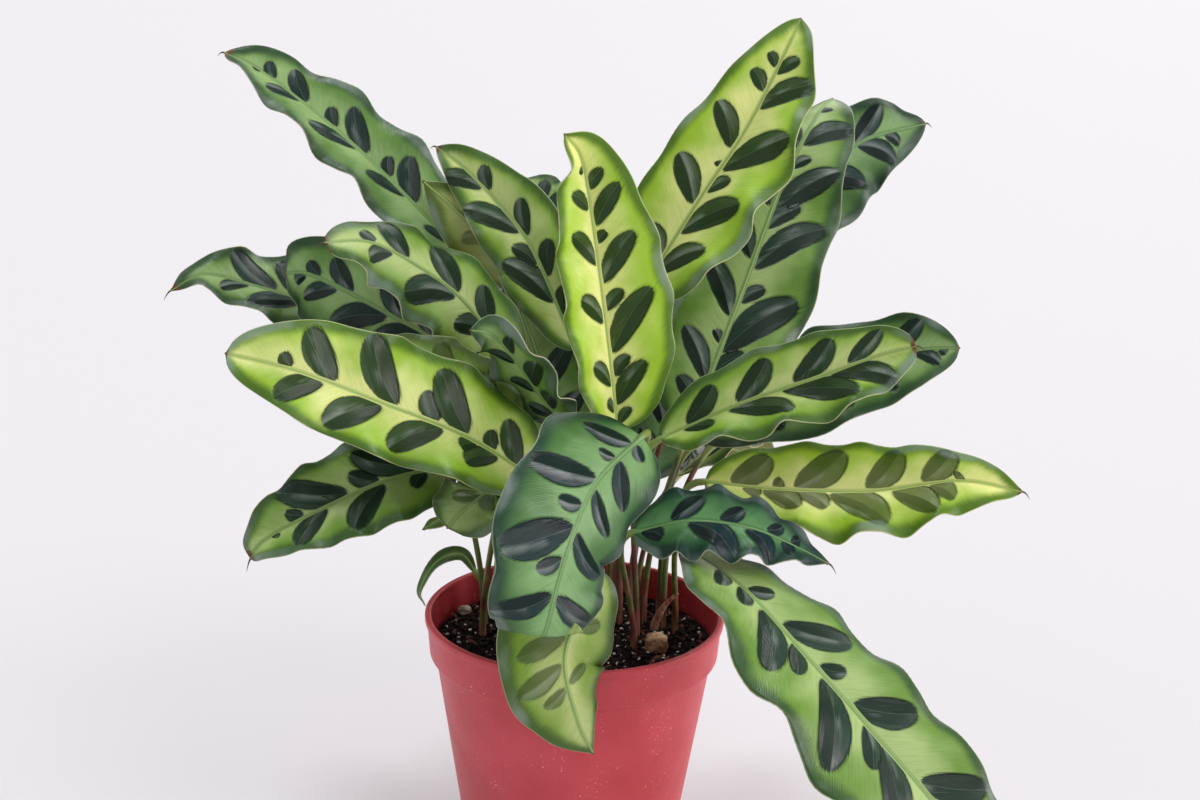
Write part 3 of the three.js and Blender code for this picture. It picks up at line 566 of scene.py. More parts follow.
         lean=[46, 40], spots=["20/4 34/8 41/3 54/7 73/8 86/7", "13/5 20/4 30/7 36/4 48/8 56/4 65/8 80/7"]),
    dict(name="leaf_half_rolled", foot=[-4, 20], width=28, full=0.6, tip=0.9, tone=0.35,
         rib=[[-30, 26, 234], [-37, 27, 251], [-49, 29, 263], [-64, 32, 275]],
         face=[[-0.2, -0.8, 0.6], [-0.2, -0.8, 0.6]], fold=[-10, 10],
         waves=2, ruffle=[2, 1], phase=[0.2, 0.5], slot="leaf_rolled", depth=0.6, shade_and_olive=0.5,
         lean=[40, 40], spots=["45/5", "60/5"]),
    dict(name="leaf_far_back_centre", foot=[5, 32], width=36, full=0.5, tip=0.5, tone=0.76,
         rib=[[-2, 62, 243], [-11, 66, 254], [-19, 70, 263], [-25, 74, 271]],
         face=[[0.2, -0.8, 0.6], [0.2, -0.8, 0.6]], fold=[10, 10],
         waves=4, ruffle=[3, 3], phase=[0.2, 0.5],
         lean=[40, 40], spots=["45/5 76/5", "30/5 55/5 78/5"]),
    dict(name="leaf_left_half_hidden", foot=[-17, 12], width=40, full=0.5, tip=0.6, tone=0.6,
         rib=[[-20, -11, 177], [-39, -17, 197], [-58, -23, 212], [-76, -26, 221]],
         face=[[-0.1, -0.7, 0.7], [-0.1, -0.7, 0.7]], fold=[-15, 15],
         waves=4, ruffle=[2, 2], phase=[0.2, 0.5], depth=0.6, shade_and_olive=0.35,
         lean=[42, 42], spots=["30/7 60/5", "34/7 62/7"]),
    dict(name="leaf_centre_left_behind", foot=[-4, 27], width=42, full=0.5, tip=0.6, tone=0.82,
         rib=[[-6, 27, 158], [-12, 28, 184], [-18, 29, 207], [-25, 30, 225]],
         face=[[-0.2, -0.9, 0.3], [-0.2, -0.9, 0.3]], fold=[10, 10],
         waves=3, ruffle=[2, 2], phase=[0.2, 0.5],
         lean=[42, 42], spots=["40/7", "35/7 62/7"]),
    dict(name="leaf_left_lower_small", foot=[-37, -1], width=32, full=0.5, tip=0.4, tone=0.7,
         rib=[[-27, -18, 168], [-34, -33, 168], [-42, -43, 164], [-47, -47, 159]],
         face=[[-0.1, -0.6, 0.8], [-0.3, -0.8, 0.5]], fold=[10, 10],
         waves=3, ruffle=[2, 2], phase=[0.2, 0.5], pull=0, depth=0.7, shade_and_olive=0.35,
         lean=[42, 42], spots=["28/7 52/5", "35/7 60/5"]),
    dict(name="leaf_left_sliver", foot=[-34, 17], width=10, full=0.5, tip=0.7, tone=0.3,
         rib=[[-37, 8, 148], [-46, 6, 147], [-55, 3, 144], [-61, 0, 141]],
         face=[[0, -0.2, 1], [0, -0.2, 1]], fold=[10, 10],
         waves=2, ruffle=[1, 1], phase=[0.2, 0.5],
         lean=[42, 42], spots=["", ""]),
    dict(name="leaf_tiny_curled", foot=[-38, 24], width=7, full=0.5, tip=0.8, tone=0.55,
         rib=[[-41, 14, 118], [-46, 12, 126], [-53, 10, 126], [-59, 8, 121], [-63, 6, 112], [-61, 6, 106]],
         face=[[0.3, -0.6, 0.7], [-0.9, -0.4, 0]], fold=[30, 30],
         waves=2, ruffle=[0.5, 0.5], phase=[0.2, 0.5],
         lean=[42, 42], spots=["", ""]),
    dict(name="leaf_back_left_high", foot=[-9, 44], width=44, full=0.45, tip=0.6, tone=0.8,
         rib=[[-28, 70, 205], [-44, 94, 222], [-62, 118, 228], [-78, 138, 222]],
         face=[[0, 0.3, 1], [-0.4, 0.5, 0.8]], fold=[25, 25],
         waves=4, ruffle=[3, 3], phase=[0.1, 0.6]),
    dict(name="leaf_back_centre_high", foot=[6, 42], width=46, full=0.45, tip=0.6, tone=0.15,
         rib=[[8, 68, 208], [12, 94, 228], [16, 122, 236], [18, 148, 228]],
         face=[[0, 0.2, 1], [0, 0.6, 0.8]], fold=[25, 25],
         waves=4, ruffle=[3, 3], phase=[0.3, 0.8], slot="leaf_bright"),
    dict(name="leaf_back_right_high", foot=[17, 43], width=44, full=0.45, tip=0.6, tone=0.7,
         rib=[[38, 68, 196], [56, 92, 214], [74, 116, 222], [90, 138, 214]],
         face=[[0, 0.3, 1], [0.4, 0.5, 0.8]], fold=[25, 25],
         waves=4, ruffle=[3, 3], phase=[0.5, 0]),
    dict(name="leaf_back_left", foot=[-29, 36], width=44, full=0.45, tip=0.6, tone=0.85,
         rib=[[-52, 54, 172], [-78, 74, 182], [-104, 92, 180], [-128, 108, 166]],
         face=[[0, 0.3, 1], [-0.5, 0.5, 0.7]], fold=[25, 25],
         waves=4, ruffle=[3, 3], phase=[0.4, 0.1]),
    dict(name="leaf_back_left_low", foot=[-17, 45], width=42, full=0.45, tip=0.6, tone=0.9,
         rib=[[-30, 66, 150], [-44, 90, 154], [-56, 114, 144], [-64, 132, 126]],
         face=[[0, 0.3, 1], [-0.3, 0.8, 0.6]], fold=[25, 25],
         waves=4, ruffle=[3, 3], phase=[0.7, 0.3]),
    dict(name="leaf_back_centre_low", foot=[0, 48], width=44, full=0.45, tip=0.6, tone=0.7,
         rib=[[2, 68, 152], [4, 92, 154], [6, 116, 142], [6, 134, 122]],
         face=[[0, 0.2, 1], [0, 0.9, 0.4]], fold=[25, 25],
         waves=4, ruffle=[3, 3], phase=[0.2, 0.7]),
    dict(name="leaf_back_middle", foot=[12, 31], width=32, full=0.5, tip=0.6, tone=0.95,
         rib=[[27, 42, 151], [33, 46, 167], [39, 51, 182], [43, 55, 196]],
         face=[[0.1, -0.9, 0.4], [0.1, -0.9, 0.4]], fold=[10, 10],
         waves=3, ruffle=[2, 2], phase=[0.4, 0.1],
         lean=[42, 42], spots=["30/6 58/6", "42/6 70/5"]),
    dict(name="leaf_back_right_low", foot=[26, 43], width=44, full=0.45, tip=0.6, tone=0.2,
         rib=[[42, 60, 146], [58, 82, 152], [74, 104, 144], [86, 122, 126]],
         face=[[0, 0.3, 1], [0.4, 0.7, 0.6]], fold=[25, 25],
         waves=4, ruffle=[3, 3], phase=[0.6, 0.2], slot="leaf_bright"),
    dict(name="leaf_back_right", foot=[36, 34], width=44, full=0.45, tip=0.6, tone=0.85,
         rib=[[58, 48, 166], [82, 62, 178], [106, 76, 180], [126, 88, 172]],
         face=[[0, 0.2, 1], [0.5, 0.4, 0.8]], fold=[25, 25],
         waves=4, ruffle=[3, 3], phase=[0, 0.5]),
]
usual_spots = (["12/7 20/3 30/8 39/5 50/7 58/3 68/7 79/5", "08/5 20/7 28/3 40/8 50/5 60/7 67/3 76/5"],
               ["10/5 22/7 31/3 42/8 57/7 65/3 73/7 83/4", "14/7 31/8 40/5 50/7 58/3 66/7 77/5"],
               ["10/7 19/4 33/8 41/3 52/7 62/5 72/7 81/3", "18/7 26/3 37/8 47/4 58/7 72/7 82/5"])

blade_thickness = 0.4 * MM
arch_share = 0.25
scallop_share = 0.03
tip_half_width = 0.6 * MM
edge_calm = 0.6
blade_grain = 1.15 * MM
across_steps = 41
stalk_steps = 26
stalk_stand_up = 2 * MM
hole_depth = 13 * MM
hook_steps = 8
hook_length = 3.2 * MM
foot_pull = 0.4
joint_pull = 0.22
vein_spacing = 2.6 * MM
vein_slant = 0.8


def through(points, steps):
    """The smooth curve through a list of points, at even distances along it, and its length."""
    before = [2 * points[0] - points[1], *points]
    after = 2 * points[-1] - points[-2]
    places = [*before, after]
    fine = 60
    line = []
    for k in range(len(points) - 1):
        a, b, c, d = places[k:k + 4]
        for t in np.linspace(0, 1, fine, endpoint=False):
            line.append(0.5 * (2 * b + (c - a) * t + (2 * a - 5 * b + 4 * c - d) * t ** 2
                               + (3 * b - a - 3 * c + d) * t ** 3))
    line.append(points[-1])
    return evenly(np.array(line), steps)


def evenly(line, steps):
    """A line's points moved to even distances along it, and its length."""
    run = np.concatenate([[0], np.cumsum(np.linalg.norm(np.diff(line, axis=0), axis=1))])
    stops = np.linspace(0, run[-1], steps + 1)
    return np.stack([np.interp(stops, run, line[:, axis]) for axis in range(3)], 1), run[-1]


def unit(rows):
    return rows / np.linalg.norm(rows, axis=-1, keepdims=True)


def spine_of(leaf):
    """The line of a leaf: up its stalk, then along its rib. Its points carry what the blade needs."""
    foot = np.array([*leaf["foot"], 0]) * MM
    foot[2] = soil_height(foot[0], foot[1])
    points = [np.array(p) * MM for p in leaf["rib"]]
    rough_length = through(points, 1)[1]
    rows = max(24, round(rough_length / blade_grain))
    rib, length = through(points, rows)
    along = unit(np.gradient(rib, axis=0))
    share = np.linspace(0, 1, rows + 1)[:, None]
    face = unit(np.array(leaf["face"][0]))[None] * (1 - share) + unit(np.array(leaf["face"][1]))[None] * share
    face = unit(face - (face * along).sum(1, keepdims=True) * along)
    leaving = foot + (0, 0, stalk_stand_up)
    span = np.linalg.norm(rib[0] - leaving)
    pull = leaf.get("pull", joint_pull)
    pulls = (leaving, leaving + (0, 0, span * foot_pull), rib[0] - along[0] * span * pull, rib[0])
    t = np.linspace(0, 1, 120)[:, None]
    bend = (pulls[0] * (1 - t) ** 3 + pulls[1] * 3 * t * (1 - t) ** 2 + pulls[2] * 3 * t * t * (1 - t)
            + pulls[3] * t ** 3)
    stalk = evenly(np.concatenate([[foot - (0, 0, hole_depth)], bend]), stalk_steps)[0][:-1]
    # Thick in its sheath at the foot, slim above, a little swollen at the joint, then a rib that tapers.
    climb = np.linspace(0, 1, stalk_steps + 1)[:-1]
    stalk_radius = 1.15 + 0.75 * np.clip(1 - climb / 0.45, 0, 1) ** 1.3 + 0.35 * np.clip((climb - 0.88) / 0.06, 0, 1)
    rib_radius = 0.3 + 0.45 * (1 - share[:, 0]) + 0.6 * np.clip(1 - share[:, 0] / 0.07, 0, 1)
    sink = 0.4 * rib_radius * np.clip(share[:, 0] / 0.05, 0, 1)
    # A dried tip runs out in a thin brown hook.
    hook = np.linspace(0, 1, hook_steps + 1)[1:, None] * (leaf.get("dry_tip", 0) > 0)
    hook_line = rib[-1] + hook_length * (along[-1] * hook + np.array([[0, 0, -0.8]]) * hook ** 2)
    mesh = bpy.data.meshes.new("spine")
    everything = np.concatenate([stalk, rib, hook_line])
    count = len(everything)
    mesh.from_pydata(everything.tolist(), [(k, k + 1) for k in range(count - 1)], [])
    flat_hook = 0 * hook[:, 0]
    carried = {"radius_here": np.concatenate([stalk_radius, rib_radius, 0.45 - 0.38 * hook[:, 0]]) * MM,
               "sink_here": np.concatenate([0 * climb, sink, flat_hook]) * MM,
               "climb": np.concatenate([climb, 1 + share[:, 0], 2.2 + flat_hook])}
    for name, values in carried.items():
        mesh.attributes.new(name, "FLOAT", "POINT").data.foreach_set("value", values.astype(np.float32))
    flat = np.zeros((stalk_steps, 3))
    for name, rows_of in (("face_here", face), ("along_here", along)):
        field = mesh.attributes.new(name, "FLOAT_VECTOR", "POINT")
        whole = np.concatenate([flat, rows_of, np.repeat(rows_of[-1:], hook_steps, 0)])
        field.data.foreach_set("vector", whole.astype(np.float32).ravel())
    return mesh, rows, length


def leaf_tree():
    """One leaf from its spine: a round stalk and rib, and a waved blade with an upper side, an
    underside and a margin. The blade keeps its places along, across and in from the margin."""
    tree = bpy.data.node_groups.new("waved leaf", "GeometryNodeTree")
    face = tree.interface
    face.new_socket("Spine", in_out="INPUT", socket_type="NodeSocketGeometry")
    for name in ("Stalk points", "Rows", "Columns"):
        face.new_socket(name, in_out="INPUT", socket_type="NodeSocketInt")
    for name in ("Length", "Width", "Full", "Tip", "Waves", "Left fold", "Right fold", "Left ruffle",
                 "Right ruffle", "Left phase", "Right phase", "Thickness"):
        face.new_socket(name, in_out="INPUT", socket_type="NodeSocketFloat")
    for name in ("Upper side", "Underside", "Margin", "Stalk"):
        face.new_socket(name, in_out="INPUT", socket_type="NodeSocketMaterial")
    face.new_socket("Leaf", in_out="OUTPUT", socket_type="NodeSocketGeometry")
    given = put(tree, "NodeGroupInput")
    ins = {socket.name: Wire(tree, socket) for socket in given.outputs if socket.name}

    def from_spine(name, kind):
        field = put(tree, "GeometryNodeInputNamedAttribute", {"Name": name}, data_type=kind)
        return out(field)

    sheet = put(tree, "GeometryNodeMeshGrid", {"Size X": 1.0, "Size Y": 1.0})
    plug(sheet.inputs["Vertices X"], ins["Rows"])
    plug(sheet.inputs["Vertices Y"], ins["Columns"])
    split = put(tree, "ShaderNodeSeparateXYZ", {0: out(put(tree, "GeometryNodeInputPosition"))})
    t = (out(split, 0) + 0.5).work("MAXIMUM", 0.0).work("MINIMUM", 1.0)
    q = out(split, 1) * 2.0
    index = t * (ins["Rows"] - 1.0) + ins["Stalk points"] + 0.5

    def sampled(value, kind):
        node = put(tree, "GeometryNodeSampleIndex", data_type=kind)
        for name, wire in (("Geometry", ins["Spine"]), ("Value", value), ("Index", index)):
            plug(node.inputs[name], wire)
        return out(node)

    place = sampled(out(put(tree, "GeometryNodeInputPosition")), "FLOAT_VECTOR")
    facing = sampled(from_spine("face_here", "FLOAT_VECTOR"), "FLOAT_VECTOR")
    along = sampled(from_spine("along_here", "FLOAT_VECTOR"), "FLOAT_VECTOR")
    side = out(put(tree, "ShaderNodeVectorMath", {0: along, 1: facing}, operation="CROSS_PRODUCT"))

    right = q.work("GREATER_THAN", 0.0)

    def of_half(name):
        left = ins["Left " + name]
        return left + (ins["Right " + name] - left) * right

    full, tip = ins["Full"], ins["Tip"]
    widest = full / (full + tip)
    peak = (widest ** full) * ((widest * -1.0 + 1.0) ** tip)
    outline = (t ** full) * ((t * -1.0 + 1.0) ** tip) / peak
    turn = (ins["Waves"] * t + of_half("phase")) * (2 * math.pi)
    calm = (t * math.pi).work("SINE").work("MAXIMUM", 0.0) ** edge_calm
    flat = ins["Width"] * 0.5 * outline * (turn.work("COSINE") * calm * scallop_share + 1.0)
    reach = flat.work("MAXIMUM", tip_half_width)
    out_share = q.work("ABSOLUTE")
    lift = of_half("fold")
    ruffle = of_half("ruffle") * calm
    wave = ruffle * out_share * out_share * turn.work("SINE")
    flutter = ruffle * (out_share ** 6.0) * (turn * 2.3 + 1.0).work("SINE") * 0.16
    vein = (t * ins["Length"] - out_share * reach * vein_slant) * (2 * math.pi / vein_spacing)
    ribbing = vein.work("SINE") * calm * out_share.to_step(0.03, 0.2) * (0.07 * MM)
    x = q * reach * lift.work("COSINE")
    y = (out_share * reach * lift.work("SINE") - reach * out_share * out_share * arch_share + wave + flutter
         + ribbing)

    def scaled(vector, amount):
        node = put(tree, "ShaderNodeVectorMath", {0: vector}, operation="SCALE")
        plug(node.inputs["Scale"], amount)
        return out(node)

    def joined(first, second):
        return out(put(tree, "ShaderNodeVectorMath", {0: first, 1: second}, operation="ADD"))

    kept = put(tree, "ShaderNodeCombineXYZ", {0: t * ins["Length"], 1: q * reach, 2: reach - out_share * reach})
    marked = put(tree, "GeometryNodeStoreNamedAttribute", {"Geometry": out(sheet), "Name": "leaf_place",
                                                           "Value": out(kept)},
                 data_type="FLOAT_VECTOR", domain="POINT")
    spot = joined(joined(place, scaled(side, x)), scaled(facing, y))
    shaped = put(tree, "GeometryNodeSetPosition", {"Geometry": out(marked), "Position": spot})
    # The grid's own faces look down, so the copy pushed down along them is the underside.
    normal = out(put(tree, "GeometryNodeInputNormal"))
    under = put(tree, "GeometryNodeExtrudeMesh", {"Mesh": out(shaped), "Offset": normal, "Individual": False})
    plug(under.inputs["Offset Scale"], ins["Thickness"])
    lower = put(tree, "GeometryNodeSetMaterial", {"Geometry": out(under), "Material": ins["Underside"]})
    rimmed = put(tree, "GeometryNodeSetMaterial", {"Geometry": out(lower), "Selection": out(under, 2),
                                                   "Material": ins["Margin"]})
    flipped = put(tree, "GeometryNodeFlipFaces", {"Mesh": out(shaped)})
    upper = put(tree, "GeometryNodeSetMaterial", {"Geometry": out(flipped), "Material": ins["Upper side"]})
    both = put(tree, "GeometryNodeJoinGeometry")
    for part in (rimmed, upper):
        tree.links.new(part.outputs[0], both.inputs[0])
    blade = put(tree, "GeometryNodeMergeByDistance", {"Geometry": out(both), "Distance": 1e-6})

    lowered = put(tree, "GeometryNodeSetPosition", {"Geometry": ins["Spine"]})
    plug(lowered.inputs["Offset"], scaled(from_spine("face_here", "FLOAT_VECTOR"),
                                          from_spine("sink_here", "FLOAT") * -1.0))
    line = put(tree, "GeometryNodeMeshToCurve", {"Mesh": out(lowered)})
    ring = put(tree, "GeometryNodeCurvePrimitiveCircle", {"Resolution": 10, "Radius": 1.0})
    tube = put(tree, "GeometryNodeCurveToMesh", {"Curve": out(line), "Profile Curve": out(ring),
                                                 "Scale": from_spine("radius_here", "FLOAT"), "Fill Caps": True})
    stalk = put(tree, "GeometryNodeSetMaterial", {"Geometry": out(tube), "Material": ins["Stalk"]})
    leaf = put(tree, "GeometryNodeJoinGeometry")
    for part in (blade, stalk):
        tree.links.new(part.outputs[0], leaf.inputs[0])
    soft = put(tree, "GeometryNodeSetShadeSmooth", {"Geometry": out(leaf)})
    real = put(tree, "GeometryNodeRealizeInstances", {0: out(soft)})
    put(tree, "NodeGroupOutput", {0: out(real)})
    return tree


# Along each half stand dark ovals that lean towards the tip, a little pointed at the rib, each with a
# straight fold down its middle.
usual_lean = 42
oval_start = 1 * MM
smallest_reach = 3 * MM


def measure_spots(leaf, place, length):
    """How far each point of a blade lies outside the nearest oval, below zero inside it, and how far
    across from that oval's own fold, both in millimetres."""
    nearest = np.full(len(place), 9.0)
    fold = np.zeros(len(place))
    full, tip = leaf["full"], leaf["tip"]
    widest = full / (full + tip)
    peak = widest ** full * (1 - widest) ** tip
    patterns = leaf["spots"] if "spots" in leaf else random.choice(usual_spots)
    for side, pattern, lean in zip((-1, 1), patterns, leaf.get("lean", (usual_lean, usual_lean))):
        on_side = np.flatnonzero(np.sign(place[:, 1]) == side)
        x, y = place[on_side, 0], np.abs(place[on_side, 1])
        for word in pattern.split():
            middle, tenths = (int(number) for number in word.split("/"))
            share = middle / 100 + random.uniform(-0.004, 0.004)
            half_blade = leaf["width"] * MM / 2 * share ** full * (1 - share) ** tip / peak
            reach = max(half_blade * tenths / 10, smallest_reach)
            slant = math.radians(lean + random.uniform(-3, 3))
            long = (reach - oval_start) / math.sin(slant)
            half = (0.15 * long + 1.5 * MM) * leaf.get("plump", 1) * random.uniform(0.94, 1.06)
            dx, dy = x - share * length + 0.5 * long * math.cos(slant), y - oval_start
            run = 2 * (dx * math.cos(slant) + dy * math.sin(slant)) / long - 1
            across = dx * math.sin(slant) - dy * math.cos(slant)
            across = across - 0.3 * half * np.cos(math.pi / 2 * np.clip(run, -1, 1))
            body = half * (1 + 0.1 * np.clip(run, -1, 1))
            ends = np.abs(run) ** np.where(run < 0, 1.6, 2)
            gap = (np.sqrt(ends + (across / body) ** 2) - 1) * half / MM
            closer = gap < nearest[on_side]
            nearest[on_side[closer]] = gap[closer]
            fold[on_side[closer]] = across[closer] / MM
    return nearest, fold


def add_floats(mesh, name, values):
    mesh.attributes.new(name, "FLOAT", "POINT").data.foreach_set("value", np.asarray(values, np.float32))


def read(tree, name, key="Fac"):
    return Wire(tree, put(tree, "ShaderNodeAttribute", attribute_name=name).outputs[key])


def vein_streaks():
    """Fine streaks and furrows that leave the rib at a slant, as the side veins do."""
    group = bpy.data.node_groups.new("vein streaks", "ShaderNodeTree")
    for name, way in (("Along", "INPUT"), ("Across", "INPUT"), ("Streaks", "OUTPUT"), ("Furrows", "OUTPUT")):
        group.interface.new_socket(name, in_out=way, socket_type="NodeSocketFloat")
    given = put(group, "NodeGroupInput")
    along, across = out(given, 0), out(given, 1).work("ABSOLUTE")
    lane = along - across * vein_slant
    half = out(given, 1).work("SIGN")
    streak_place = out(put(group, "ShaderNodeCombineXYZ", {0: lane, 1: across * 0.07, 2: half * 0.05}))
    streaks = out(put(group, "ShaderNodeTexNoise", {"Vector": streak_place, "Scale": 1500.0, "Detail": 3.0}))
    furrows = (lane * (2 * math.pi / (0.6 * MM)) + streaks * 3.0).work("SINE")
    ends = put(group, "NodeGroupOutput")
    plug(ends.inputs["Streaks"], streaks)
    plug(ends.inputs["Furrows"], furrows * 0.5 + 0.5)
    return group


streak_group = vein_streaks()


def streaks_of(tree, place):
    node = put(tree, "ShaderNodeGroup", node_tree=streak_group)
    plug(node.inputs["Along"], out(place, 0))
    plug(node.inputs["Across"], out(place, 1))
    return out(node, 0), out(node, 1)


upper_finish, tree, shader = new_finish("leaf_upper_side", 0.3)
place = put(tree, "ShaderNodeSeparateXYZ", {0: read(tree, "leaf_place", "Vector")})
tone = read(tree, "leaf_tone")
streaks, furrows = streaks_of(tree, place)
clouds = mottle(tree, 60, 2) - 0.5
across = out(place, 1).work("ABSOLUTE")
inward = out(place, 2)
# Brightest near the rib, then a plain green, then a dark band within a few millimetres of the margin.
midway = inward / (inward + across + 0.1 * MM)
plain = blend_colours(tone, paint(170, 212, 52), paint(44, 94, 56))
bright = blend_colours(tone, paint(246, 252, 158), paint(102, 154, 96))
colour = blend_colours((midway + clouds * 1.1).to_step(0.2, 0.95), plain, bright)
colour = blend_colours((streaks - 0.5).work("MAXIMUM", 0.0) * 1.1, colour, plain, "MULTIPLY")
band = blend_colours(tone, paint(80, 118, 24), paint(20, 52, 44))
band_share = (inward + clouds * (6 * MM) + (streaks - 0.5) * (3 * MM)).to_step(7 * MM, 2 * MM)
colour = blend_colours(band_share * 0.94, colour, band)
# Painted shade: a darker green strip just beside the rib, standing in for the shadow along the raised rib.
painted_rib_shadow = across.to_step(1.3 * MM, 0.7 * MM)
colour = blend_colours(painted_rib_shadow * 0.4, colour, blend_colours(tone, paint(112, 146, 48), paint(40, 84, 52)))
spot_fold = read(tree, "spot_fold")
spot_gap = read(tree, "spot_gap") + (streaks - 0.5) * 0.9
spot_share = spot_gap.to_step(0.22, -0.22)
dark = blend_colours(tone, paint(36, 62, 18), paint(8, 30, 32))
# Painted light: the half of each oval on one side of its fold is painted lighter, as if that half caught the light,
# mixed with random streaks and clouds.
painted_lit_half = blend_colours(tone, paint(72, 100, 42), paint(28, 58, 62))
dark = blend_colours(spot_fold.to_step(-0.6, 1.2) * 0.5 + (streaks - 0.5) * 0.7 + clouds * 0.5, dark, painted_lit_half)
# Painted highlight: a pale grey-white sheen in patches beside each oval's fold.
painted_oval_sheen = spot_fold.to_step(-0.1, 0.5) * spot_fold.to_step(3.4, 0.6) * (streaks + clouds * 3.0).to_step(0.4, 0.9)
dark = blend_colours(painted_oval_sheen * 0.5, dark, paint(146, 156, 148))
crease = spot_fold.work("ABSOLUTE").to_step(0.28, 0.06)
dark = blend_colours(crease * 0.3, dark, blend_colours(tone, paint(110, 134, 74), paint(92, 120, 112)))
colour = blend_colours(spot_share * read(tree, "spot_depth"), colour, dark)
# Painted highlight: soft whitish sheen patches near the margins, over the dark band.
painted_margin_sheen = (mottle(tree, 45, 2) - 0.5) * 1.6 + band_share * 0.5
# Painted shade and a duller colour: some leaves are mixed towards a flat olive, partly for the duller colour of an
# older leaf, partly as painted shade where a leaf lies in the shadow of others.
colour = blend_colours(read(tree, "leaf_dull"), colour, paint(84, 96, 36))
colour = blend_colours(painted_margin_sheen.to_step(0.46, 0.85) * 0.28, colour, paint(196, 212, 206))
edge_line = blend_colours(tone, paint(196, 202, 140), paint(140, 156, 126))
colour = blend_colours(inward.to_step(0.4 * MM, 0.15 * MM) * 0.8, colour, edge_line)
dried = (read(tree, "leaf_dry") + (mottle(tree, 300, 2) - 0.5) * 0.9).to_step(0.35, 0.6)
colour = blend_colours(dried, colour, paint(104, 70, 46))
plug(shader.inputs["Base Color"], colour)
plug(shader.inputs["Roughness"], streaks * 0.14 + 0.25)
quilted = spot_fold.work("ABSOLUTE").work("MINIMUM", 4.0) * spot_gap.to_step(0.6, -0.6)
relief = furrows * 0.1 + streaks * 0.25 - quilted * 0.95
roughen(tree, shader, relief, 0.0004)

under_finish, tree, shader = new_finish("leaf_underside", 0.3)
place = put(tree, "ShaderNodeSeparateXYZ", {0: read(tree, "leaf_place", "Vector")})
streaks, furrows = streaks_of(tree, place)
colour = blend_colours(streaks.to_step(0.3, 0.7), paint(84, 34, 50), paint(116, 60, 72))
green = blend_colours(streaks.to_step(0.3, 0.7), paint(120, 144, 74), paint(158, 176, 100))
ripe = (read(tree, "leaf_ripe") + (mottle(tree, 60, 2) - 0.5) * 0.3).to_step(0.1, 0.45) * out(place, 2).to_step(0.5 * MM, 3 * MM)
colour = blend_colours(ripe, green, colour)
plug(shader.inputs["Base Color"], colour)
plug(shader.inputs["Roughness"], streaks * 0.1 + 0.48)
roughen(tree, shader, furrows * 0.3 + streaks * 0.6, 0.0002)

margin_finish, tree, shader = new_finish("leaf_margin")
colour = blend_colours(read(tree, "leaf_tone"), paint(196, 202, 138), paint(158, 162, 134))
plug(shader.inputs["Base Color"], blend_colours(mottle(tree, 400, 2).to_step(0.55, 0.75), colour,
                                                paint(134, 104, 74)))
shader.inputs["Roughness"].default_value = 0.6

stalk_finish, tree, shader = new_finish("leaf_stalk")
climb = read(tree, "climb")
tone = read(tree, "leaf_tone")
mixed = mottle(tree, 70, 3)
fibre = mottle(tree, 500, 3, stretch=(1, 1, 0.08))
green = blend_colours(fibre.to_step(0.3, 0.7), paint(70, 88, 36), paint(104, 116, 54))
red = blend_colours(fibre.to_step(0.3, 0.7), paint(80, 38, 30), paint(118, 68, 48))
colour = blend_colours((mixed + (climb - 0.5) * 0.3).to_step(0.36, 0.6), red, green)
sheath = blend_colours(fibre.to_step(0.35, 0.65), paint(118, 72, 58), paint(176, 132, 104))
colour = blend_colours((climb + (mixed - 0.5) * 0.25).to_step(0.3, 0.12), colour, sheath)
colour = blend_colours(climb.to_step(0.86, 0.9), colour, paint(128, 146, 70))
rib_colour = blend_colours(tone, paint(152, 184, 84), paint(112, 152, 92))
colour = blend_colours(climb.to_step(0.985, 1.02), colour, rib_colour)
colour = blend_colours(climb.to_step(2.02, 2.1), colour, paint(86, 56, 40))
plug(shader.inputs["Base Color"], colour)
shader.inputs["Roughness"].default_value = 0.42
roughen(tree, shader, fibre, 0.0002)

random.seed(7)
waved_leaf = leaf_tree()
for leaf in leaves:
    spine, rows, length = spine_of(leaf)
    piece = new_piece(leaf["name"].removeprefix("leaf_") + "_leaf", spine)
    growth = piece.modifiers.new("waved leaf", "NODES")
    growth.node_group = waved_leaf
    wanted = across_steps if leaf["width"] > 30 else across_steps - 12
    set_inputs(growth, Stalk_points=stalk_steps, Rows=rows + 1, Columns=wanted, Length=length,
               Width=leaf["width"] * MM, Full=float(leaf["full"]), Tip=float(leaf["tip"]), Waves=float(leaf["waves"]),
               Left_fold=math.radians(leaf["fold"][0]), Right_fold=math.radians(leaf["fold"][1]),
               Left_ruffle=leaf["ruffle"][0] * MM, Right_ruffle=leaf["ruffle"][1] * MM,
               Left_phase=float(leaf["phase"][0]), Right_phase=float(leaf["phase"][1]), Thickness=blade_thickness,
               Upper_side=upper_finish, Underside=under_finish, Margin=margin_finish, Stalk=stalk_finish)
    settle(piece)
    places = np.zeros(len(piece.data.vertices) * 3, np.float32)
    piece.data.attributes["leaf_place"].data.foreach_get("vector", places)
    places = places.reshape(-1, 3).astype(float)
    gap, fold = measure_spots(leaf, places, length)
    add_floats(piece.data, "spot_gap", gap)
    add_floats(piece.data, "spot_fold", fold)
    add_floats(piece.data, "leaf_tone", np.full(len(places), leaf["tone"]))
    add_floats(piece.data, "spot_depth", np.full(len(places), leaf.get("depth", 1)))
    add_floats(piece.data, "leaf_ripe", np.full(len(places), leaf.get("ripe", leaf["tone"])))
    add_floats(piece.data, "leaf_dull", np.full(len(places), leaf.get("shade_and_olive", 0)))
    add_floats(piece.data, "leaf_dry", 1 - (length - places[:, 0]) / (leaf.get("dry_tip", 1) * MM))
    seat(piece, leaf.get("slot", "leaf_dark"), leaf["name"])


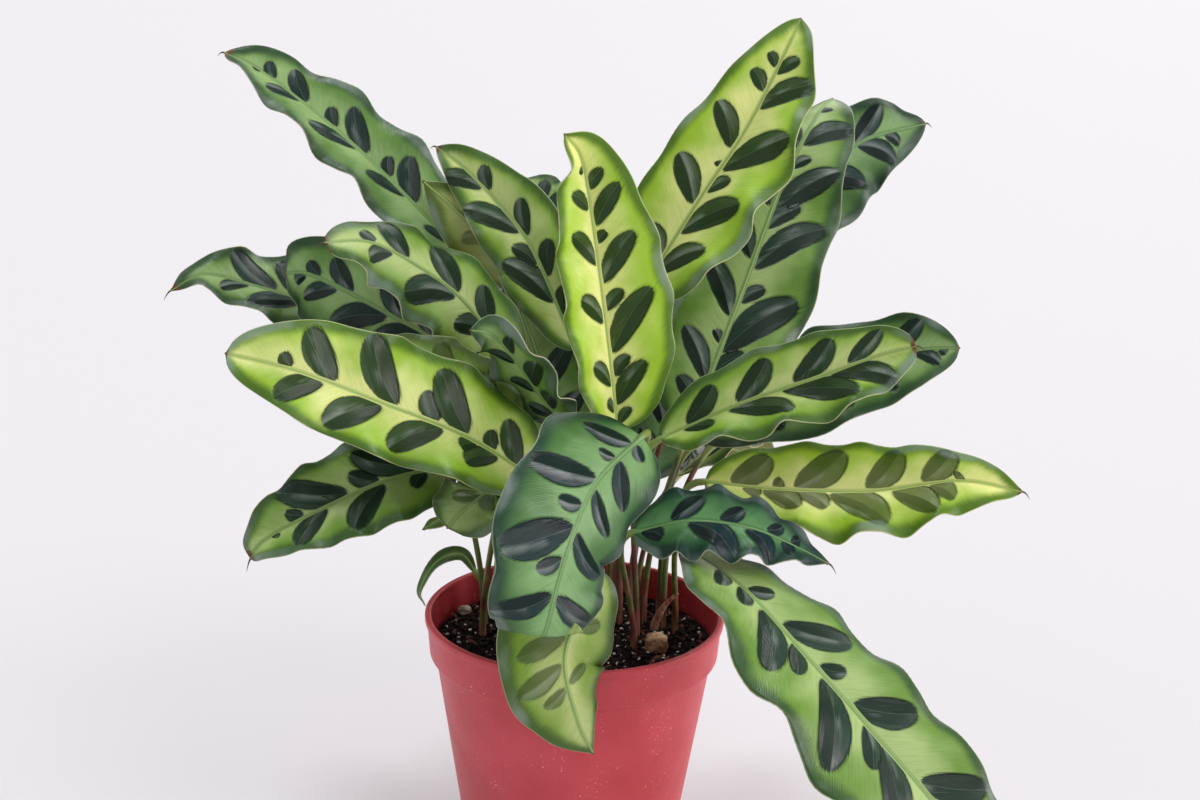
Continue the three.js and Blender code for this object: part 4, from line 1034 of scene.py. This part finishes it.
# The dry sheaths: two old leaf stalks withered to thin, papery, ribbed shreds that stand in the soil.
sheath_radius = 1.5 * MM
sheath_rings = 44
sheath_sides = 22
sheaths = [("dry_sheath_right", (32, 5), (41, -6, 119)), ("dry_sheath_left", (15, 23), (13, 22, 110))]


def skinned(name, rings):
    """A closed mesh through rings of points that all have the same number of them."""
    count = len(rings[0])
    points = [tuple(p) for ring in rings for p in ring]
    faces = [tuple(reversed(range(count))), tuple(range(len(points) - count, len(points)))]
    for k in range(len(rings) - 1):
        for i in range(count):
            a, b = k * count + i, k * count + (i + 1) % count
            faces.append((a, b, b + count, a + count))
    mesh = bpy.data.meshes.new(name)
    mesh.from_pydata(points, [], faces)
    mesh.shade_smooth()
    return mesh


dry_finish, tree, shader = new_finish("dry_stem")
fibre = mottle(tree, 700, 4, stretch=(1, 1, 0.12))
patches = mottle(tree, 90, 3)
colour = blend_colours(fibre.to_step(0.3, 0.7), paint(124, 78, 60), paint(206, 164, 132))
colour = blend_colours(patches.to_step(0.5, 0.7) * 0.6, colour, paint(98, 56, 44))
plug(shader.inputs["Base Color"], colour)
shader.inputs["Roughness"].default_value = 0.8
roughen(tree, shader, fibre, 0.0004)

for name, foot, tip in sheaths:
    start = Vector((foot[0] * MM, foot[1] * MM, soil_height(foot[0] * MM, foot[1] * MM) - 3 * MM))
    end = Vector(tip) * MM
    middle = Vector((start.x, start.y, (start.z + end.z) / 2))
    rings = []
    for k in range(sheath_rings + 1):
        t = k / sheath_rings
        at = start * (1 - t) ** 2 + middle * 2 * t * (1 - t) + end * t * t
        run = ((middle - start) * (1 - t) + (end - middle) * t).normalized()
        side = run.cross(Vector((0, 1, 0))).normalized()
        other = run.cross(side)
        wide = sheath_radius * (1.15 - 0.85 * t ** 1.5)
        ring = []
        for i in range(sheath_sides):
            turn = 2 * math.pi * i / sheath_sides
            pleat = 1 + 0.16 * math.sin(7 * turn + 5 * t) + 0.3 * noise.noise(Vector((i * 0.9, t * 5, foot[0])))
            twist = turn + 1.4 * t
            across = side * math.cos(twist) + other * math.sin(twist) * 0.6
            ring.append(at + across * wide * pleat)
        rings.append(ring)
    sheath = new_piece(name + "_shred", skinned(name, rings))
    sheath.data.materials.append(dry_finish)
    seat(sheath, "dry_stem", name)


# On the soil: the pale, corky end of an old rhizome, cut off square, and a rounded pebble.
cork_finish, tree, shader = new_finish("rhizome_cork")
grain = mottle(tree, 700, 4)
colour = blend_colours(mottle(tree, 260, 3).to_step(0.35, 0.65), paint(150, 108, 74), paint(206, 176, 138))
colour = blend_colours(grain.to_step(0.58, 0.7) * 0.7, colour, paint(92, 60, 42))
plug(shader.inputs["Base Color"], colour)
shader.inputs["Roughness"].default_value = 0.85
roughen(tree, shader, grain, 0.0006)
stone_finish, tree, shader = new_finish("stone")
grain = mottle(tree, 900, 4)
colour = blend_colours(mottle(tree, 240, 3).to_step(0.35, 0.65), paint(118, 104, 90), paint(190, 176, 158))
plug(shader.inputs["Base Color"], blend_colours(grain.to_step(0.6, 0.7) * 0.5, colour, paint(84, 72, 62)))
shader.inputs["Roughness"].default_value = 0.8
roughen(tree, shader, grain, 0.0003)


def lump(name, place, size, squareness, knobs, finish, slot, node):
    """A lump on the soil: a ball pressed towards a block, with a flat foot and a knobbly skin."""
    shape = bmesh.new()
    bmesh.ops.create_icosphere(shape, subdivisions=4, radius=1)
    x, y = (number * MM for number in place)
    for vertex in shape.verts:
        way = vertex.co.normalized()
        block = sum(abs(c) ** squareness for c in way) ** (-1 / squareness)
        knob = 1 + knobs * noise.fractal(way * 2.2 + Vector((size[0], 0, 0)), 0.9, 2.0, 4)
        vertex.co = way * block * knob
        vertex.co = Vector(c * s * MM / 2 for c, s in zip(vertex.co, size))
        vertex.co.z = max(vertex.co.z, -0.3 * size[2] * MM) + 0.3 * size[2] * MM + 0.4 * MM
        vertex.co += Vector((x, y, soil_height(x, y)))
    mesh = bpy.data.meshes.new(name)
    shape.to_mesh(mesh)
    shape.free()
    mesh.shade_smooth()
    mesh.materials.append(finish)
    seat(new_piece(name, mesh), slot, node)


lump("rhizome_cork", (33, -12), (8.6, 7.6, 8), 4.5, 0.12, cork_finish, "dry_stem", "rhizome_stub")
lump("round_pebble", (-46, 22), (6, 5, 4), 2.3, 0.16, stone_finish, "stone", "pebble")
